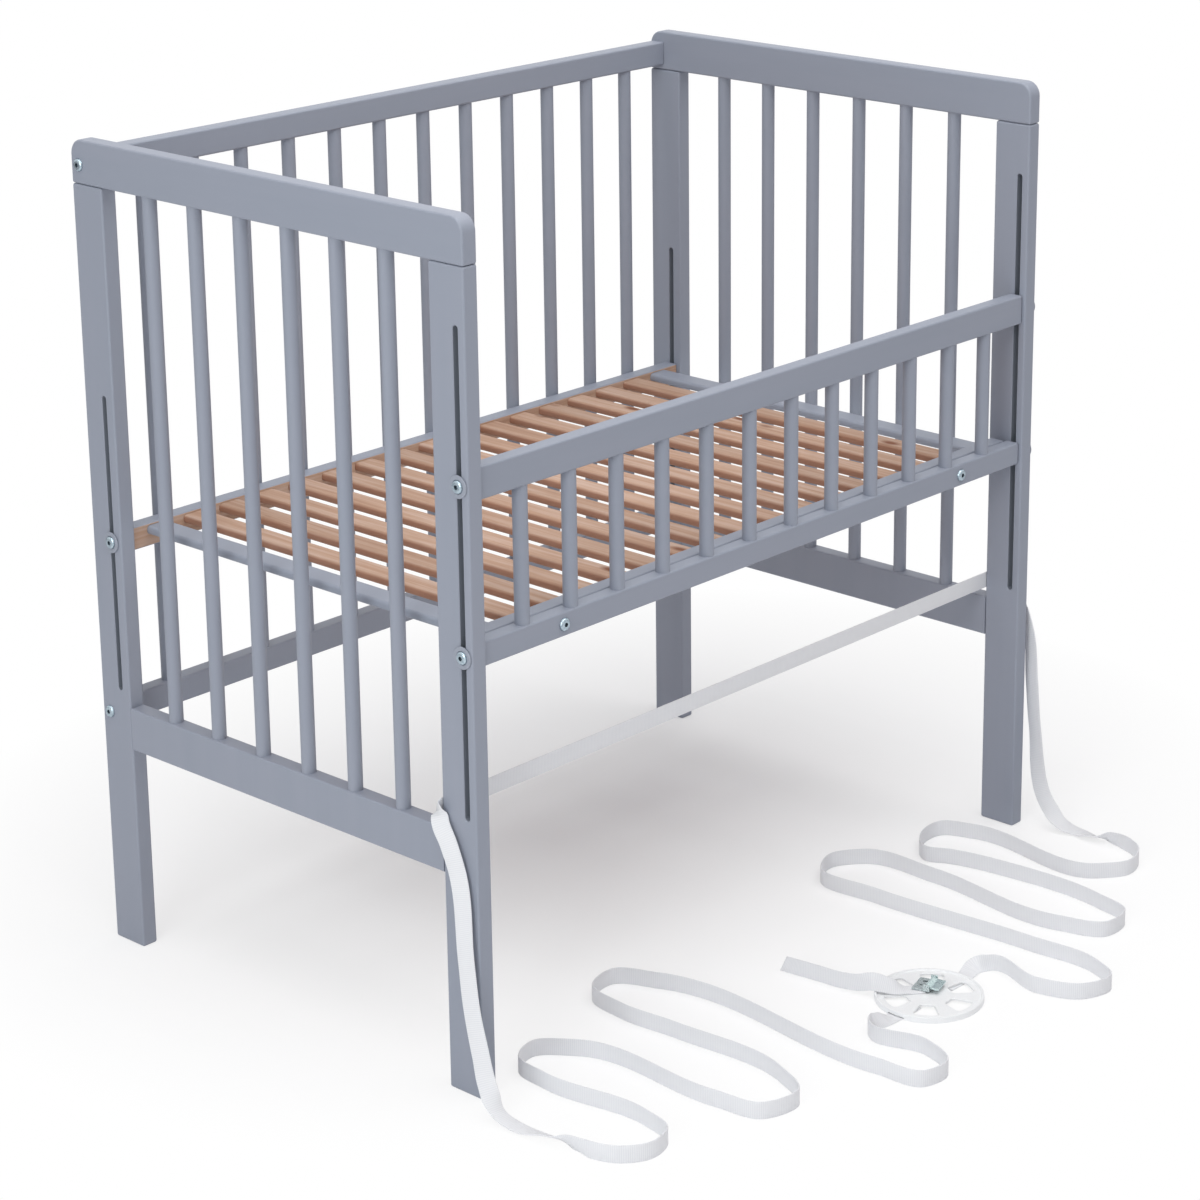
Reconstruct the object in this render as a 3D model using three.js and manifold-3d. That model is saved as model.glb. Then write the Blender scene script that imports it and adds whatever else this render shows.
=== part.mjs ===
// A bedside crib of painted wood: two end panels, a barred back, a slatted base with a low barred guard,
// which slide together in slots in the posts, and a webbing strap with a tension disc and a buckle.
// Millimetres, +Z up, the origin on the floor under the middle, the open side towards -Y.

import * as THREE from "three";
import { mergeVertices } from "three/addons/utils/BufferGeometryUtils.js";
import Module from "manifold-3d";

// Overall sizes, and the fits that all pieces share
const cribLength = 950;
const cribDepth = 600;
const cribHeight = 938;
const seatGap = 0.3;
const cutOverrun = 5;
const weldDistance = 0.001;
const edgeRadius = 2.5;
const arcSteps = 2;

// End panels: a post at each corner, a rail on top of both, a rail between them, and dowels
const endThickness = 20;
const postWidth = 49;
const endTopRailHeight = 49;
const endTopRailCorner = 17;
const endBottomRailHeight = 50;
const endBottomRailRise = 243;
const endDowelCount = 6;
const endDowelSpread = 365;

// Dowels of all four barred pieces
const dowelDiameter = 16;
const dowelSeatDepth = 12;
const dowelSides = 16;
const longDowelCount = 12;
const longDowelEndGap = 64.5;

// Height slots in the posts
const slotWidth = 7;
const frontSlotBottom = 310;
const frontSlotTopDrop = 60;
const backSlotBottom = 311;
const backSlotTop = 655;
const backSlotInset = 16;

// Back side
const backRailThickness = 20;
const backRailHeight = 30;
const backRailInset = 3;
const backTopRailDrop = 13;
const backBottomRailRise = 266;

// Base: a front and a back rail, painted end bars and natural slats in mortises
const baseRise = 473;
const baseRailHeight = 27;
const baseRailThickness = 20;
const baseFrontRailEndGap = 4;
const slatCount = 15;
const slatWidth = 30;
const slatThickness = 10;
const slatEdgeRadius = 4;
const slatDrop = 3;
const slatTenon = 8;
const slatEndInset = 37.4;

// Guard at the open side
const guardThickness = 18;
const guardInset = 4;
const guardHeight = 210;
const guardTopRailHeight = 35;
const guardToBaseGap = 1;
const guardBoltInset = 116.5;

// Socket-head bolts and their washers
const boltDiameter = 6;
const boltClearance = 0.3;
const boltHeadDiameter = 14.2;
const boltHeadHeight = 3.4;
const boltCrownDiameter = 6.4;
const boltCrownHeight = 2.4;
const boltDomeSteps = 3;
const socketWidth = 4;
const socketDepth = 2;
const endBoltGrip = 20;
const sideBoltGrip = 10;
const boltSides = 12;
const washerDiameter = 24;
const washerThickness = 1.8;
const washerSides = 24;

// Strap
const strapWidth = 20;
const strapThickness = 1.5;
const strapChamfer = 0.4;
const strapLeftHeight = 316;
const strapRightHeight = 314.5;
const strapSpanInset = 5;

// Tension disc, lying on the floor
const discPlace = [489, -207];
const discDiameter = 122;
const discRimWidth = 3;
const discRimHeight = 7;
const discWebThickness = 2.5;
const discWebRise = 2.5;
const discSides = 40;
const windowInnerRadius = 26;
const windowOuterRadius = 51;
const windowCount = 6;
const windowShare = 0.56;
const firstWindowTurn = THREE.MathUtils.degToRad(33);
const windowArcSteps = 5;
const strapGateClearance = 0.6;
const strapGateHeight = 2.8;
const strapGateReach = 12;

// Buckle on the disc: a frame with two cheeks, a pin through them and a lever on the pin
const buckleOffset = [10, 14];
const buckleTurn = THREE.MathUtils.degToRad(17);
const buckleWidth = 27;
const buckleLength = 21;
const bucklePlateThickness = 2;
const buckleWindowLength = 8;
const buckleBarWidth = 4;
const cheekThickness = 2;
const cheekLength = 8;
const pinDiameter = 2;
const pinRise = 5;
const pinInset = 4;
const pinClearance = 0.3;
const pinSides = 12;
const leverBossDiameter = 5.4;
const leverThickness = 1.6;
const leverReach = 13;
const leverLift = 4;
const leverSideGap = 0.5;

// The strap's middle line on each side, from behind the post to the disc, measured from the crib's left front
// foot. A point in the air or lying over also gives the direction of the strap's width, in shares of it.
const leftRoute = [
  [4.7, 50.05, 316, 0, 0, 1],
  [-5, 50, 316, 0.1, 0, 1],
  [-9.5, 47.5, 309, 0.6, -0.3, 0.75],
  [-10, 32, 286, 0.45, -0.8, 0.4],
  [-8.5, 21.7, 257, 0.32, -0.8, 0.2],
  [-9.5, 10, 158, 0.22, -0.95, 0.1],
  [-11, 2, 107, 0.27, -0.95, 0.15],
  [-14, -12.7, 61, 0.4, -0.85, 0.25],
  [-17, -24, 33, 0.6, -0.7, 0.25],
  [-20, -42, 9.5, 0.97, 0.05, -0.08],
  [-19.5, -66, 3, 0.95, 0.3, -0.02],
  [-14.5, -113, 5.8, 0.77, 0.36, -0.46],
  [-14, -147, 10.2, 0.25, 0.05, -0.9],
  [-13, -166, 10.3, 0, 0, -1],
  [-3, -191],
  [27, -212],
  [59, -204],
  [71, -164],
  [60, -30],
  [69, 16],
  [103, 28],
  [132, -2],
  [148, -190],
  [160, -243],
  [205, -254],
  [233, -205],
  [234, -60],
  [229, 20],
  [241, 71],
  [284, 80],
  [309, 35],
  [312, -270],
  [323, -327],
  [356, -332],
  [380, -285],
  [370, -219],
  [378, -209],
  [402, -207, 7, 0, -0.8, -0.6],
  [425, -207, 1.3, 0, -1, 0],
  [462, -207, 1.3, 0, -1, 0],
];
const rightRoute = [
  [945.3, 50.05, 314.5, 0, 0, 1],
  [955, 50, 314.5, -0.12, 0, 1],
  [959.5, 47, 307, -0.5, -0.35, 0.75],
  [960.5, 18, 285, -0.3, -0.85, 0.4],
  [959.5, 3, 250, -0.2, -0.9, 0.3],
  [958.5, -4, 190, -0.1, -0.95, 0.25],
  [960, -9.5, 127, -0.12, -0.92, 0.36],
  [960, -33, 28, 0.4, -0.75, 0.4],
  [957.5, -56, 9.5, 0.96, -0.05, 0.25],
  [963.5, -72, 2.8, 0.97, 0.2, 0.08],
  [960.5, -106, 5.4, 0.76, 0.43, -0.38],
  [963, -130, 10, 0.28, 0.22, -0.87],
  [960, -150, 10.3, 0, 0, -1],
  [944, -178],
  [905, -191],
  [871, -168],
  [867, 15],
  [850, 50],
  [818, 52],
  [777, 18],
  [789, -10],
  [804, -90],
  [802, -217],
  [786, -265],
  [745, -267],
  [722, -215],
  [732, -30],
  [722, 68],
  [685, 92],
  [645, 75],
  [642, -10],
  [657, -222],
  [657, -312],
  [636, -348],
  [598, -338],
  [576, -290],
  [587, -218],
  [578, -207, 7, 0, -0.8, -0.6],
  [554, -207, 1.3, 0, -1, 0],
  [518, -207, 1.3, 0, -1, 0],
];
const tailRoute = [
  [493, -195.5, 6.05, 0.61, 0.79, 0],
  [479, -184.5, 6.1, 0.61, 0.79, 0],
  [463, -170, 13, 0.5, 0.56, 0.66],
  [453, -156, 17, 0.35, 0.3, 0.88],
  [447, -140, 13, 0.05, 0.02, 1],
  [443, -115, 10.3, 0, 0, 1],
  [440, -90, 10.3, 0, 0, 1],
  [433, -39, 10.3, 0, 0, 1],
];

const greyPaint = new THREE.MeshStandardMaterial({ color: 0x959aa5, roughness: 0.55, metalness: 0 });
const naturalWood = new THREE.MeshStandardMaterial({ color: 0xc69c82, roughness: 0.7, metalness: 0 });
const zincSteel = new THREE.MeshStandardMaterial({ color: 0xb9c0cb, roughness: 0.3, metalness: 1 });
const greyPlastic = new THREE.MeshStandardMaterial({ color: 0x8b909c, roughness: 0.45, metalness: 0 });
const whitePlastic = new THREE.MeshStandardMaterial({ color: 0xe9ebee, roughness: 0.4, metalness: 0 });
const whiteWebbing = new THREE.MeshStandardMaterial({ color: 0xe4e6ea, roughness: 0.9, metalness: 0 });

const wasm = await Module();
wasm.setup();

// A closed geometry as a solid that can be joined and cut.
function solidOf(geometry) {
  const bare = geometry.index ? geometry.toNonIndexed() : geometry.clone();
  bare.deleteAttribute("normal");
  bare.deleteAttribute("uv");
  const merged = mergeVertices(bare, weldDistance);
  const shell = new wasm.Mesh({
    numProp: 3,
    vertProperties: merged.attributes.position.array,
    triVerts: new Uint32Array(merged.index.array),
  });
  return new wasm.Manifold(shell);
}

// A solid back as a geometry with flat faces.
function geometryOf(solid) {
  const shell = solid.getMesh();
  const geometry = new THREE.BufferGeometry();
  geometry.setAttribute("position", new THREE.BufferAttribute(shell.vertProperties, 3));
  geometry.setIndex(new THREE.BufferAttribute(shell.triVerts, 1));
  const flat = geometry.toNonIndexed();
  flat.computeVertexNormals();
  return flat;
}

function cutAll(solid, cutters) {
  return cutters.reduce((left, cutter) => left.subtract(cutter), solid);
}

function piece(name, solid, material, x, y, z) {
  const mesh = new THREE.Mesh(geometryOf(solid), material);
  mesh.name = name;
  mesh.position.set(x, y, z);
  return mesh;
}

// A rectangle about the middle, with round corners.
function roundedSection(width, height, radius) {
  const right = width / 2;
  const top = height / 2;
  const shape = new THREE.Shape();
  shape.absarc(right - radius, top - radius, radius, 0, Math.PI / 2);
  shape.absarc(radius - right, top - radius, radius, Math.PI / 2, Math.PI);
  shape.absarc(radius - right, radius - top, radius, Math.PI, 1.5 * Math.PI);
  shape.absarc(right - radius, radius - top, radius, 1.5 * Math.PI, 2 * Math.PI);
  shape.closePath();
  return shape;
}

// The section pushed through to a beam about the middle: along x its sizes are height and depth, along y
// they are width and height, and along z they are width and depth.
function beam(axis, length, first, second, radius) {
  const turned = axis === "x";
  const section = roundedSection(first, second, radius);
  const geometry = new THREE.ExtrudeGeometry(section, {
    depth: length,
    bevelEnabled: false,
    curveSegments: arcSteps,
  });
  geometry.translate(0, 0, -length / 2);
  if (turned) geometry.rotateY(Math.PI / 2);
  if (axis === "y") geometry.rotateX(-Math.PI / 2);
  return solidOf(geometry);
}

// A round rod about the middle, along an axis.
function rod(axis, diameter, length, sides) {
  const geometry = new THREE.CylinderGeometry(diameter / 2, diameter / 2, length, sides);
  geometry.rotateY(Math.PI / sides);
  if (axis === "x") geometry.rotateZ(Math.PI / 2);
  if (axis === "z") geometry.rotateX(Math.PI / 2);
  return solidOf(geometry);
}

function block(width, depth, height) {
  return solidOf(new THREE.BoxGeometry(width, depth, height));
}

// Places of count things spread evenly over a span about the middle.
function spread(count, span) {
  return Array.from({ length: count }, (_, i) => (i / (count - 1) - 1 / 2) * span);
}

// Where things stand
const endX = (cribLength - endThickness) / 2;
const innerLength = cribLength - 2 * endThickness;
const frontPostY = (postWidth - cribDepth) / 2;
const backPostY = -frontPostY;
const postHeight = cribHeight - endTopRailHeight - seatGap;
const endTopRailBottom = cribHeight - endTopRailHeight;
const frontSlotTop = endTopRailBottom - frontSlotTopDrop;
const frontSlotInset = guardInset + guardThickness / 2;
const guardY = frontSlotInset - cribDepth / 2;
const guardBoltSpread = innerLength - 2 * guardBoltInset;
const baseBackRailY = cribDepth / 2 - postWidth + backSlotInset;
const baseFrontRailY = guardY + guardThickness / 2 + guardToBaseGap + baseRailThickness / 2;
const baseRailZ = baseRise + baseRailHeight / 2;
const guardTopRailZ = baseRise + guardHeight - guardTopRailHeight / 2;
const backRailY = cribDepth / 2 - backRailInset - backRailThickness / 2;
const backTopRailZ = cribHeight - backTopRailDrop - backRailHeight / 2;
const backBottomRailZ = backBottomRailRise + backRailHeight / 2;
const longDowelPlaces = spread(longDowelCount, innerLength - 2 * longDowelEndGap);
const boreDiameter = boltDiameter + 2 * boltClearance;
const railLength = innerLength - 2 * seatGap;
const boreDepth = endBoltGrip + seatGap;

// A stadium-shaped slot through a post, between two heights.
function slotCutter(inset, bottom, top) {
  const slot = beam("x", endThickness + 2 * cutOverrun, top - bottom, slotWidth, slotWidth / 2);
  const y = inset - postWidth / 2;
  return slot.translate([0, y, (top + bottom) / 2]);
}

function post(inset, bottom, top, boltHole) {
  const body = beam("z", postHeight, postWidth, endThickness, edgeRadius).rotate([0, 0, 90]);
  const raised = body.translate([0, 0, postHeight / 2]);
  const cutters = [slotCutter(inset, bottom, top)];
  if (boltHole) {
    const bore = rod("x", boreDiameter, endThickness + 2 * cutOverrun, boltSides);
    cutters.push(bore.translate([0, backRailY - backPostY, backBottomRailZ]));
  }
  return cutAll(raised, cutters);
}

// Rail with dowels standing in it, glued for life, about the rail's middle.
function comb(rail, axis, places, railHeight, reach) {
  const length = reach + railHeight / 2;
  return places.reduce((joined, place) => {
    const dowel = rod("z", dowelDiameter, length, dowelSides);
    const x = axis === "x" ? place : 0;
    const y = axis === "y" ? place : 0;
    return joined.add(dowel.translate([x, y, length / 2]));
  }, rail);
}

// Blind holes that the dowels' upper ends stand in, in the underside of a rail about its middle.
function dowelHoles(axis, places, railHeight) {
  const depth = dowelSeatDepth + seatGap + cutOverrun;
  const top = dowelSeatDepth + seatGap - railHeight / 2;
  return places.map((place) => {
    const hole = rod("z", dowelDiameter + 2 * seatGap, depth, dowelSides);
    const x = axis === "x" ? place : 0;
    const y = axis === "y" ? place : 0;
    return hole.translate([x, y, top - depth / 2]);
  });
}

// Bores for the bolts in both ends of a rail along x.
function endBores(length, y, z) {
  const depth = boreDepth + cutOverrun;
  return [-1, 1].map((side) => {
    const bore = rod("x", boreDiameter, depth, boltSides);
    return bore.translate([side * (length / 2 - boreDepth + depth / 2), y, z]);
  });
}

// A bolt along x with its crowned head outwards at +x, measured from the face that it is seated on.
function bolt(grip) {
  const shank = boltDiameter / 2;
  const head = boltHeadDiameter / 2;
  const crown = boltCrownDiameter / 2;
  const shoulder = seatGap + boltHeadHeight - boltCrownHeight;
  const dome = Array.from({ length: boltDomeSteps + 1 }, (_, i) => {
    const turn = ((i / boltDomeSteps) * Math.PI) / 2;
    const radius = crown + (head - crown) * Math.cos(turn);
    return new THREE.Vector2(radius, shoulder + boltCrownHeight * Math.sin(turn));
  });
  const profile = [
    new THREE.Vector2(0, -grip),
    new THREE.Vector2(shank, -grip),
    new THREE.Vector2(shank, seatGap),
    new THREE.Vector2(head, seatGap),
    ...dome,
    new THREE.Vector2(0, seatGap + boltHeadHeight),
  ];
  const body = solidOf(new THREE.LatheGeometry(profile, boltSides));
  const key = new THREE.CylinderGeometry(socketWidth / 2, socketWidth / 2, socketDepth + cutOverrun, 6);
  const keyTop = seatGap + boltHeadHeight + cutOverrun;
  key.translate(0, keyTop - (socketDepth + cutOverrun) / 2, 0);
  return body.subtract(solidOf(key)).rotate([0, 0, -90]);
}

function washer() {
  const inner = boreDiameter / 2;
  const outer = washerDiameter / 2;
  const profile = [
    new THREE.Vector2(inner, 0),
    new THREE.Vector2(outer, 0),
    new THREE.Vector2(outer, washerThickness),
    new THREE.Vector2(inner, washerThickness),
    new THREE.Vector2(inner, 0),
  ];
  return solidOf(new THREE.LatheGeometry(profile, washerSides)).rotate([0, 0, -90]);
}

// The end panels
function endTopRail() {
  const width = cribDepth - 2 * edgeRadius;
  const height = endTopRailHeight - 2 * edgeRadius;
  const corner = endTopRailCorner - edgeRadius;
  const shape = new THREE.Shape();
  shape.moveTo(-width / 2, 0);
  shape.lineTo(width / 2, 0);
  shape.absarc(width / 2 - corner, height - corner, corner, 0, Math.PI / 2);
  shape.absarc(corner - width / 2, height - corner, corner, Math.PI / 2, Math.PI);
  shape.closePath();
  const geometry = new THREE.ExtrudeGeometry(shape, {
    depth: endThickness - 2 * edgeRadius,
    bevelThickness: edgeRadius,
    bevelSize: edgeRadius,
    bevelSegments: 2,
    curveSegments: 3 * arcSteps,
  });
  geometry.translate(0, edgeRadius - endTopRailHeight / 2, edgeRadius - endThickness / 2);
  geometry.rotateX(Math.PI / 2);
  geometry.rotateZ(Math.PI / 2);
  const bore = rod("x", boreDiameter, endThickness + 2 * cutOverrun, boltSides);
  const z = endTopRailBottom + endTopRailHeight / 2;
  return solidOf(geometry).subtract(bore.translate([0, backRailY, backTopRailZ - z]));
}

function endPanel(side, sign) {
  const group = new THREE.Group();
  group.position.set(sign * endX, 0, 0);
  const railSpan = cribDepth - 2 * postWidth;
  const places = spread(endDowelCount, endDowelSpread);
  const railZ = endBottomRailRise + endBottomRailHeight / 2;
  const rail = beam("y", railSpan - 2 * seatGap, endThickness, endBottomRailHeight, edgeRadius);
  const reach = endTopRailBottom + dowelSeatDepth - railZ - endBottomRailHeight / 2;
  const bars = comb(rail, "y", places, endBottomRailHeight, reach);
  const topRail = cutAll(endTopRail(), dowelHoles("y", places, endTopRailHeight));
  const topRailZ = endTopRailBottom + endTopRailHeight / 2;
  group.add(
    piece(side + "_end_top_rail", topRail, greyPaint, 0, 0, topRailZ),
    piece(side + "_end_bars", bars, greyPaint, 0, 0, railZ),
    piece(
      side + "_front_post",
      post(frontSlotInset, frontSlotBottom, frontSlotTop, false),
      greyPaint,
      0,
      frontPostY,
      0,
    ),
    piece(
      side + "_back_post",
      post(backSlotInset, backSlotBottom, backSlotTop, true),
      greyPaint,
      0,
      backPostY,
      0,
    ),
  );
  return group;
}

// Bolts in through an end panel, seated on its outer face or on a washer there
function endBolt(name, sign, y, z, overWasher) {
  const stack = overWasher ? seatGap + washerThickness : 0;
  const mesh = piece(name, bolt(stack + endThickness + seatGap + endBoltGrip), zincSteel, 0, y, z);
  mesh.position.x = sign * (cribLength / 2 + stack);
  if (sign < 0) mesh.rotation.z = Math.PI;
  return mesh;
}

function endWasher(name, sign, y, z) {
  const mesh = piece(name, washer(), greyPlastic, 0, y, z);
  mesh.position.x = sign * (cribLength / 2 + seatGap);
  if (sign < 0) mesh.rotation.z = Math.PI;
  return mesh;
}

// The back side
function backSide() {
  const group = new THREE.Group();
  const cap = beam("x", railLength, backRailHeight, backRailThickness, edgeRadius);
  const topRail = cutAll(cap, [
    ...dowelHoles("x", longDowelPlaces, backRailHeight),
    ...endBores(railLength, 0, 0),
  ]);
  const sill = beam("x", railLength, backRailHeight, backRailThickness, edgeRadius);
  const reach = backTopRailZ - backBottomRailZ - backRailHeight + dowelSeatDepth;
  const bars = cutAll(comb(sill, "x", longDowelPlaces, backRailHeight, reach), endBores(railLength, 0, 0));
  group.add(
    piece("back_top_rail", topRail, greyPaint, 0, backRailY, backTopRailZ),
    piece("back_bars", bars, greyPaint, 0, backRailY, backBottomRailZ),
    endBolt("back_top_left_bolt", -1, backRailY, backTopRailZ, false),
    endBolt("back_top_right_bolt", 1, backRailY, backTopRailZ, false),
    endBolt("back_lower_left_bolt", -1, backRailY, backBottomRailZ, false),
    endBolt("back_lower_right_bolt", 1, backRailY, backBottomRailZ, false),
  );
  return group;
}

// The sliding base
const crossPlaces = spread(slatCount + 2, innerLength - 2 * slatEndInset);
const slatSpan = baseBackRailY - baseFrontRailY - baseRailThickness;
const slatY = (baseBackRailY + baseFrontRailY) / 2;
const slatZ = baseRise + baseRailHeight - slatDrop - slatThickness / 2;

function crossPiece(extra) {
  const length = slatSpan + 2 * slatTenon + 2 * extra;
  const width = slatWidth + 2 * extra;
  return beam("y", length, width, slatThickness + 2 * extra, slatEdgeRadius + extra);
}

// The sockets that the cross pieces' ends stand in, about a base rail's middle.
function mortises(railY) {
  return crossPlaces.map((x) => crossPiece(seatGap).translate([x, slatY - railY, slatZ - baseRailZ]));
}

function base() {
  const group = new THREE.Group();
  const back = beam("x", railLength, baseRailHeight, baseRailThickness, edgeRadius);
  const backRail = cutAll(back, [...mortises(baseBackRailY), ...endBores(railLength, 0, 0)]);
  const frontLength = innerLength - 2 * baseFrontRailEndGap;
  const front = beam("x", frontLength, baseRailHeight, baseRailThickness, edgeRadius);
  const sideBores = [-1, 1].map((side) => {
    const depth = sideBoltGrip + seatGap + cutOverrun;
    const end = sideBoltGrip + seatGap - baseRailThickness / 2;
    const bore = rod("y", boreDiameter, depth, boltSides);
    return bore.translate([(side * guardBoltSpread) / 2, end - depth / 2, 0]);
  });
  const frontRail = cutAll(front, [...mortises(baseFrontRailY), ...sideBores]);
  group.add(
    piece("base_back_rail", backRail, greyPaint, 0, baseBackRailY, baseRailZ),
    piece("base_front_rail", frontRail, greyPaint, 0, baseFrontRailY, baseRailZ),
  );
  crossPlaces.forEach((x, index) => {
    const painted = index === 0 || index === slatCount + 1;
    const side = index === 0 ? "left" : "right";
    const name = painted ? "base_" + side + "_bar" : "slat_" + String(index).padStart(2, "0");
    const material = painted ? greyPaint : naturalWood;
    group.add(piece(name, crossPiece(0), material, x, slatY, slatZ));
  });
  return group;
}

// The guard, bolted to the front posts' slots and to the base's front rail
function guard() {
  const group = new THREE.Group();
  const cap = beam("x", railLength, guardTopRailHeight, guardThickness, edgeRadius);
  const topRail = cutAll(cap, [
    ...dowelHoles("x", longDowelPlaces, guardTopRailHeight),
    ...endBores(railLength, 0, 0),
  ]);
  const sill = beam("x", railLength, baseRailHeight, guardThickness, edgeRadius);
  const reach = guardHeight - baseRailHeight - guardTopRailHeight + dowelSeatDepth;
  const sideBores = [-1, 1].map((side) => {
    const bore = rod("y", boreDiameter, guardThickness + 2 * cutOverrun, boltSides);
    return bore.translate([(side * guardBoltSpread) / 2, 0, 0]);
  });
  const bars = cutAll(comb(sill, "x", longDowelPlaces, baseRailHeight, reach), [
    ...endBores(railLength, 0, 0),
    ...sideBores,
  ]);
  group.add(
    piece("guard_top_rail", topRail, greyPaint, 0, guardY, guardTopRailZ),
    piece("guard_bars", bars, greyPaint, 0, guardY, baseRailZ),
  );
  [-1, 1].forEach((sign) => {
    const side = sign < 0 ? "left" : "right";
    const grip = guardThickness + guardToBaseGap + sideBoltGrip;
    const mesh = piece("guard_" + side + "_bolt", bolt(grip), zincSteel, 0, 0, baseRailZ);
    mesh.position.x = (sign * guardBoltSpread) / 2;
    mesh.position.y = guardY - guardThickness / 2;
    mesh.rotation.z = -Math.PI / 2;
    group.add(mesh);
  });
  return group;
}

function slotFasteners() {
  const group = new THREE.Group();
  const places = [
    ["front_upper", guardY, guardTopRailZ],
    ["front_lower", guardY, baseRailZ],
    ["back", baseBackRailY, baseRailZ],
  ];
  [-1, 1].forEach((sign) => {
    const side = sign < 0 ? "left_" : "right_";
    places.forEach(([place, y, z]) => {
      group.add(endBolt(side + place + "_bolt", sign, y, z, true));
      group.add(endWasher(side + place + "_washer", sign, y, z));
    });
  });
  return group;
}

// The stations of a strap: the middle of its section, its width's direction made square to the path, and its
// thickness's. Where the route gives no direction, the strap stands on its edge.
function stations(route) {
  const standing = [strapWidth / 2 + seatGap, 0, 0, -1];
  const full = route.map((row) => (row.length > 2 ? row : [...row, ...standing]));
  const middles = full.map(([x, y, z]) => new THREE.Vector3(x, y, z));
  return middles.map((middle, i) => {
    const before = middles[Math.max(i - 1, 0)];
    const after = middles[Math.min(i + 1, middles.length - 1)];
    const arriving = middle.clone().sub(before).normalize();
    const leaving = after.clone().sub(middle).normalize();
    const path = arriving.add(leaving).normalize();
    const across = new THREE.Vector3(full[i][3], full[i][4], full[i][5]);
    across.addScaledVector(path, -across.dot(path)).normalize();
    return { middle, across, through: path.cross(across) };
  });
}

// Both faces of a strap are split along the same diagonals, so that it stays as thick where it twists.
function strap(name, route) {
  const wide = strapWidth / 2;
  const thick = strapThickness / 2;
  const section = [
    [wide, thick - strapChamfer],
    [wide - strapChamfer, thick],
    [strapChamfer - wide, thick],
    [-wide, thick - strapChamfer],
    [-wide, strapChamfer - thick],
    [strapChamfer - wide, -thick],
    [wide - strapChamfer, -thick],
    [wide, strapChamfer - thick],
  ];
  const sides = section.length;
  const rings = stations(route).map(({ middle, across, through }) =>
    section.map(([x, y]) => middle.clone().addScaledVector(across, x).addScaledVector(through, y)),
  );
  const corners = [];
  rings.slice(1).forEach((next, i) => {
    const ring = rings[i];
    section.forEach((_, j) => {
      const k = (j + 1) % sides;
      if (j < sides / 2 - 1) corners.push(ring[j], ring[k], next[j], ring[k], next[k], next[j]);
      else corners.push(ring[j], ring[k], next[k], ring[j], next[k], next[j]);
    });
  });
  const first = rings[0];
  const last = rings[rings.length - 1];
  for (let j = 1; j < sides - 1; j += 1) {
    corners.push(first[0], first[j + 1], first[j], last[0], last[j], last[j + 1]);
  }
  const geometry = new THREE.BufferGeometry().setFromPoints(corners);
  geometry.computeVertexNormals();
  const mesh = new THREE.Mesh(geometry, whiteWebbing);
  mesh.name = name;
  return mesh;
}

// A window between two spokes of the disc, as a cutter.
function discWindow(_, index) {
  const middle = firstWindowTurn + (index * 2 * Math.PI) / windowCount;
  const half = (windowShare * Math.PI) / windowCount;
  const shape = new THREE.Shape();
  shape.absarc(0, 0, windowOuterRadius, middle - half, middle + half);
  shape.absarc(0, 0, windowInnerRadius, middle + half, middle - half, true);
  shape.closePath();
  const geometry = new THREE.ExtrudeGeometry(shape, {
    depth: discRimHeight + cutOverrun,
    bevelEnabled: false,
    curveSegments: windowArcSteps,
  });
  return solidOf(geometry);
}

function tensionDisc() {
  const outer = discDiameter / 2;
  const inner = outer - discRimWidth;
  const webTop = discWebRise + discWebThickness;
  const profile = [
    new THREE.Vector2(0, discWebRise),
    new THREE.Vector2(inner, discWebRise),
    new THREE.Vector2(inner, 0),
    new THREE.Vector2(outer, 0),
    new THREE.Vector2(outer, discRimHeight),
    new THREE.Vector2(inner, discRimHeight),
    new THREE.Vector2(inner, webTop),
    new THREE.Vector2(0, webTop),
  ];
  const turned = new THREE.LatheGeometry(profile, discSides);
  turned.rotateX(Math.PI / 2);
  const gateWidth = strapWidth + 2 * strapGateClearance;
  const gates = [-1, 1].map((side) => {
    const gate = block(2 * strapGateReach, gateWidth, 2 * strapGateHeight);
    return gate.translate([side * outer, 0, 0]);
  });
  const windows = Array.from({ length: windowCount }, discWindow);
  return cutAll(solidOf(turned), [...windows, ...gates]);
}

// The buckle, about the middle of its plate's underside, with its lever towards -Y
const cheekHeight = pinRise + pinDiameter / 2 + cheekThickness;
const pinY = pinInset - buckleLength / 2;
const leverWidth = buckleWidth - 2 * cheekThickness - 2 * leverSideGap;
const pinBore = pinDiameter + 2 * pinClearance;

function buckleFrame() {
  const plate = block(buckleWidth, buckleLength, bucklePlateThickness);
  const body = plate.translate([0, 0, bucklePlateThickness / 2]);
  const window = block(leverWidth, buckleWindowLength, 2 * cutOverrun);
  const windowY = buckleLength / 2 - buckleBarWidth - buckleWindowLength / 2;
  const cheeks = [-1, 1].map((side) => {
    const cheek = block(cheekThickness, cheekLength, cheekHeight);
    return cheek.translate([
      (side * (buckleWidth - cheekThickness)) / 2,
      cheekLength / 2 - buckleLength / 2,
      cheekHeight / 2,
    ]);
  });
  const bore = rod("x", pinBore, buckleWidth + 2 * cutOverrun, pinSides).translate([0, pinY, pinRise]);
  const joined = cheeks.reduce((sum, cheek) => sum.add(cheek), body);
  return cutAll(joined, [window.translate([0, windowY, 0]), bore]);
}

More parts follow.
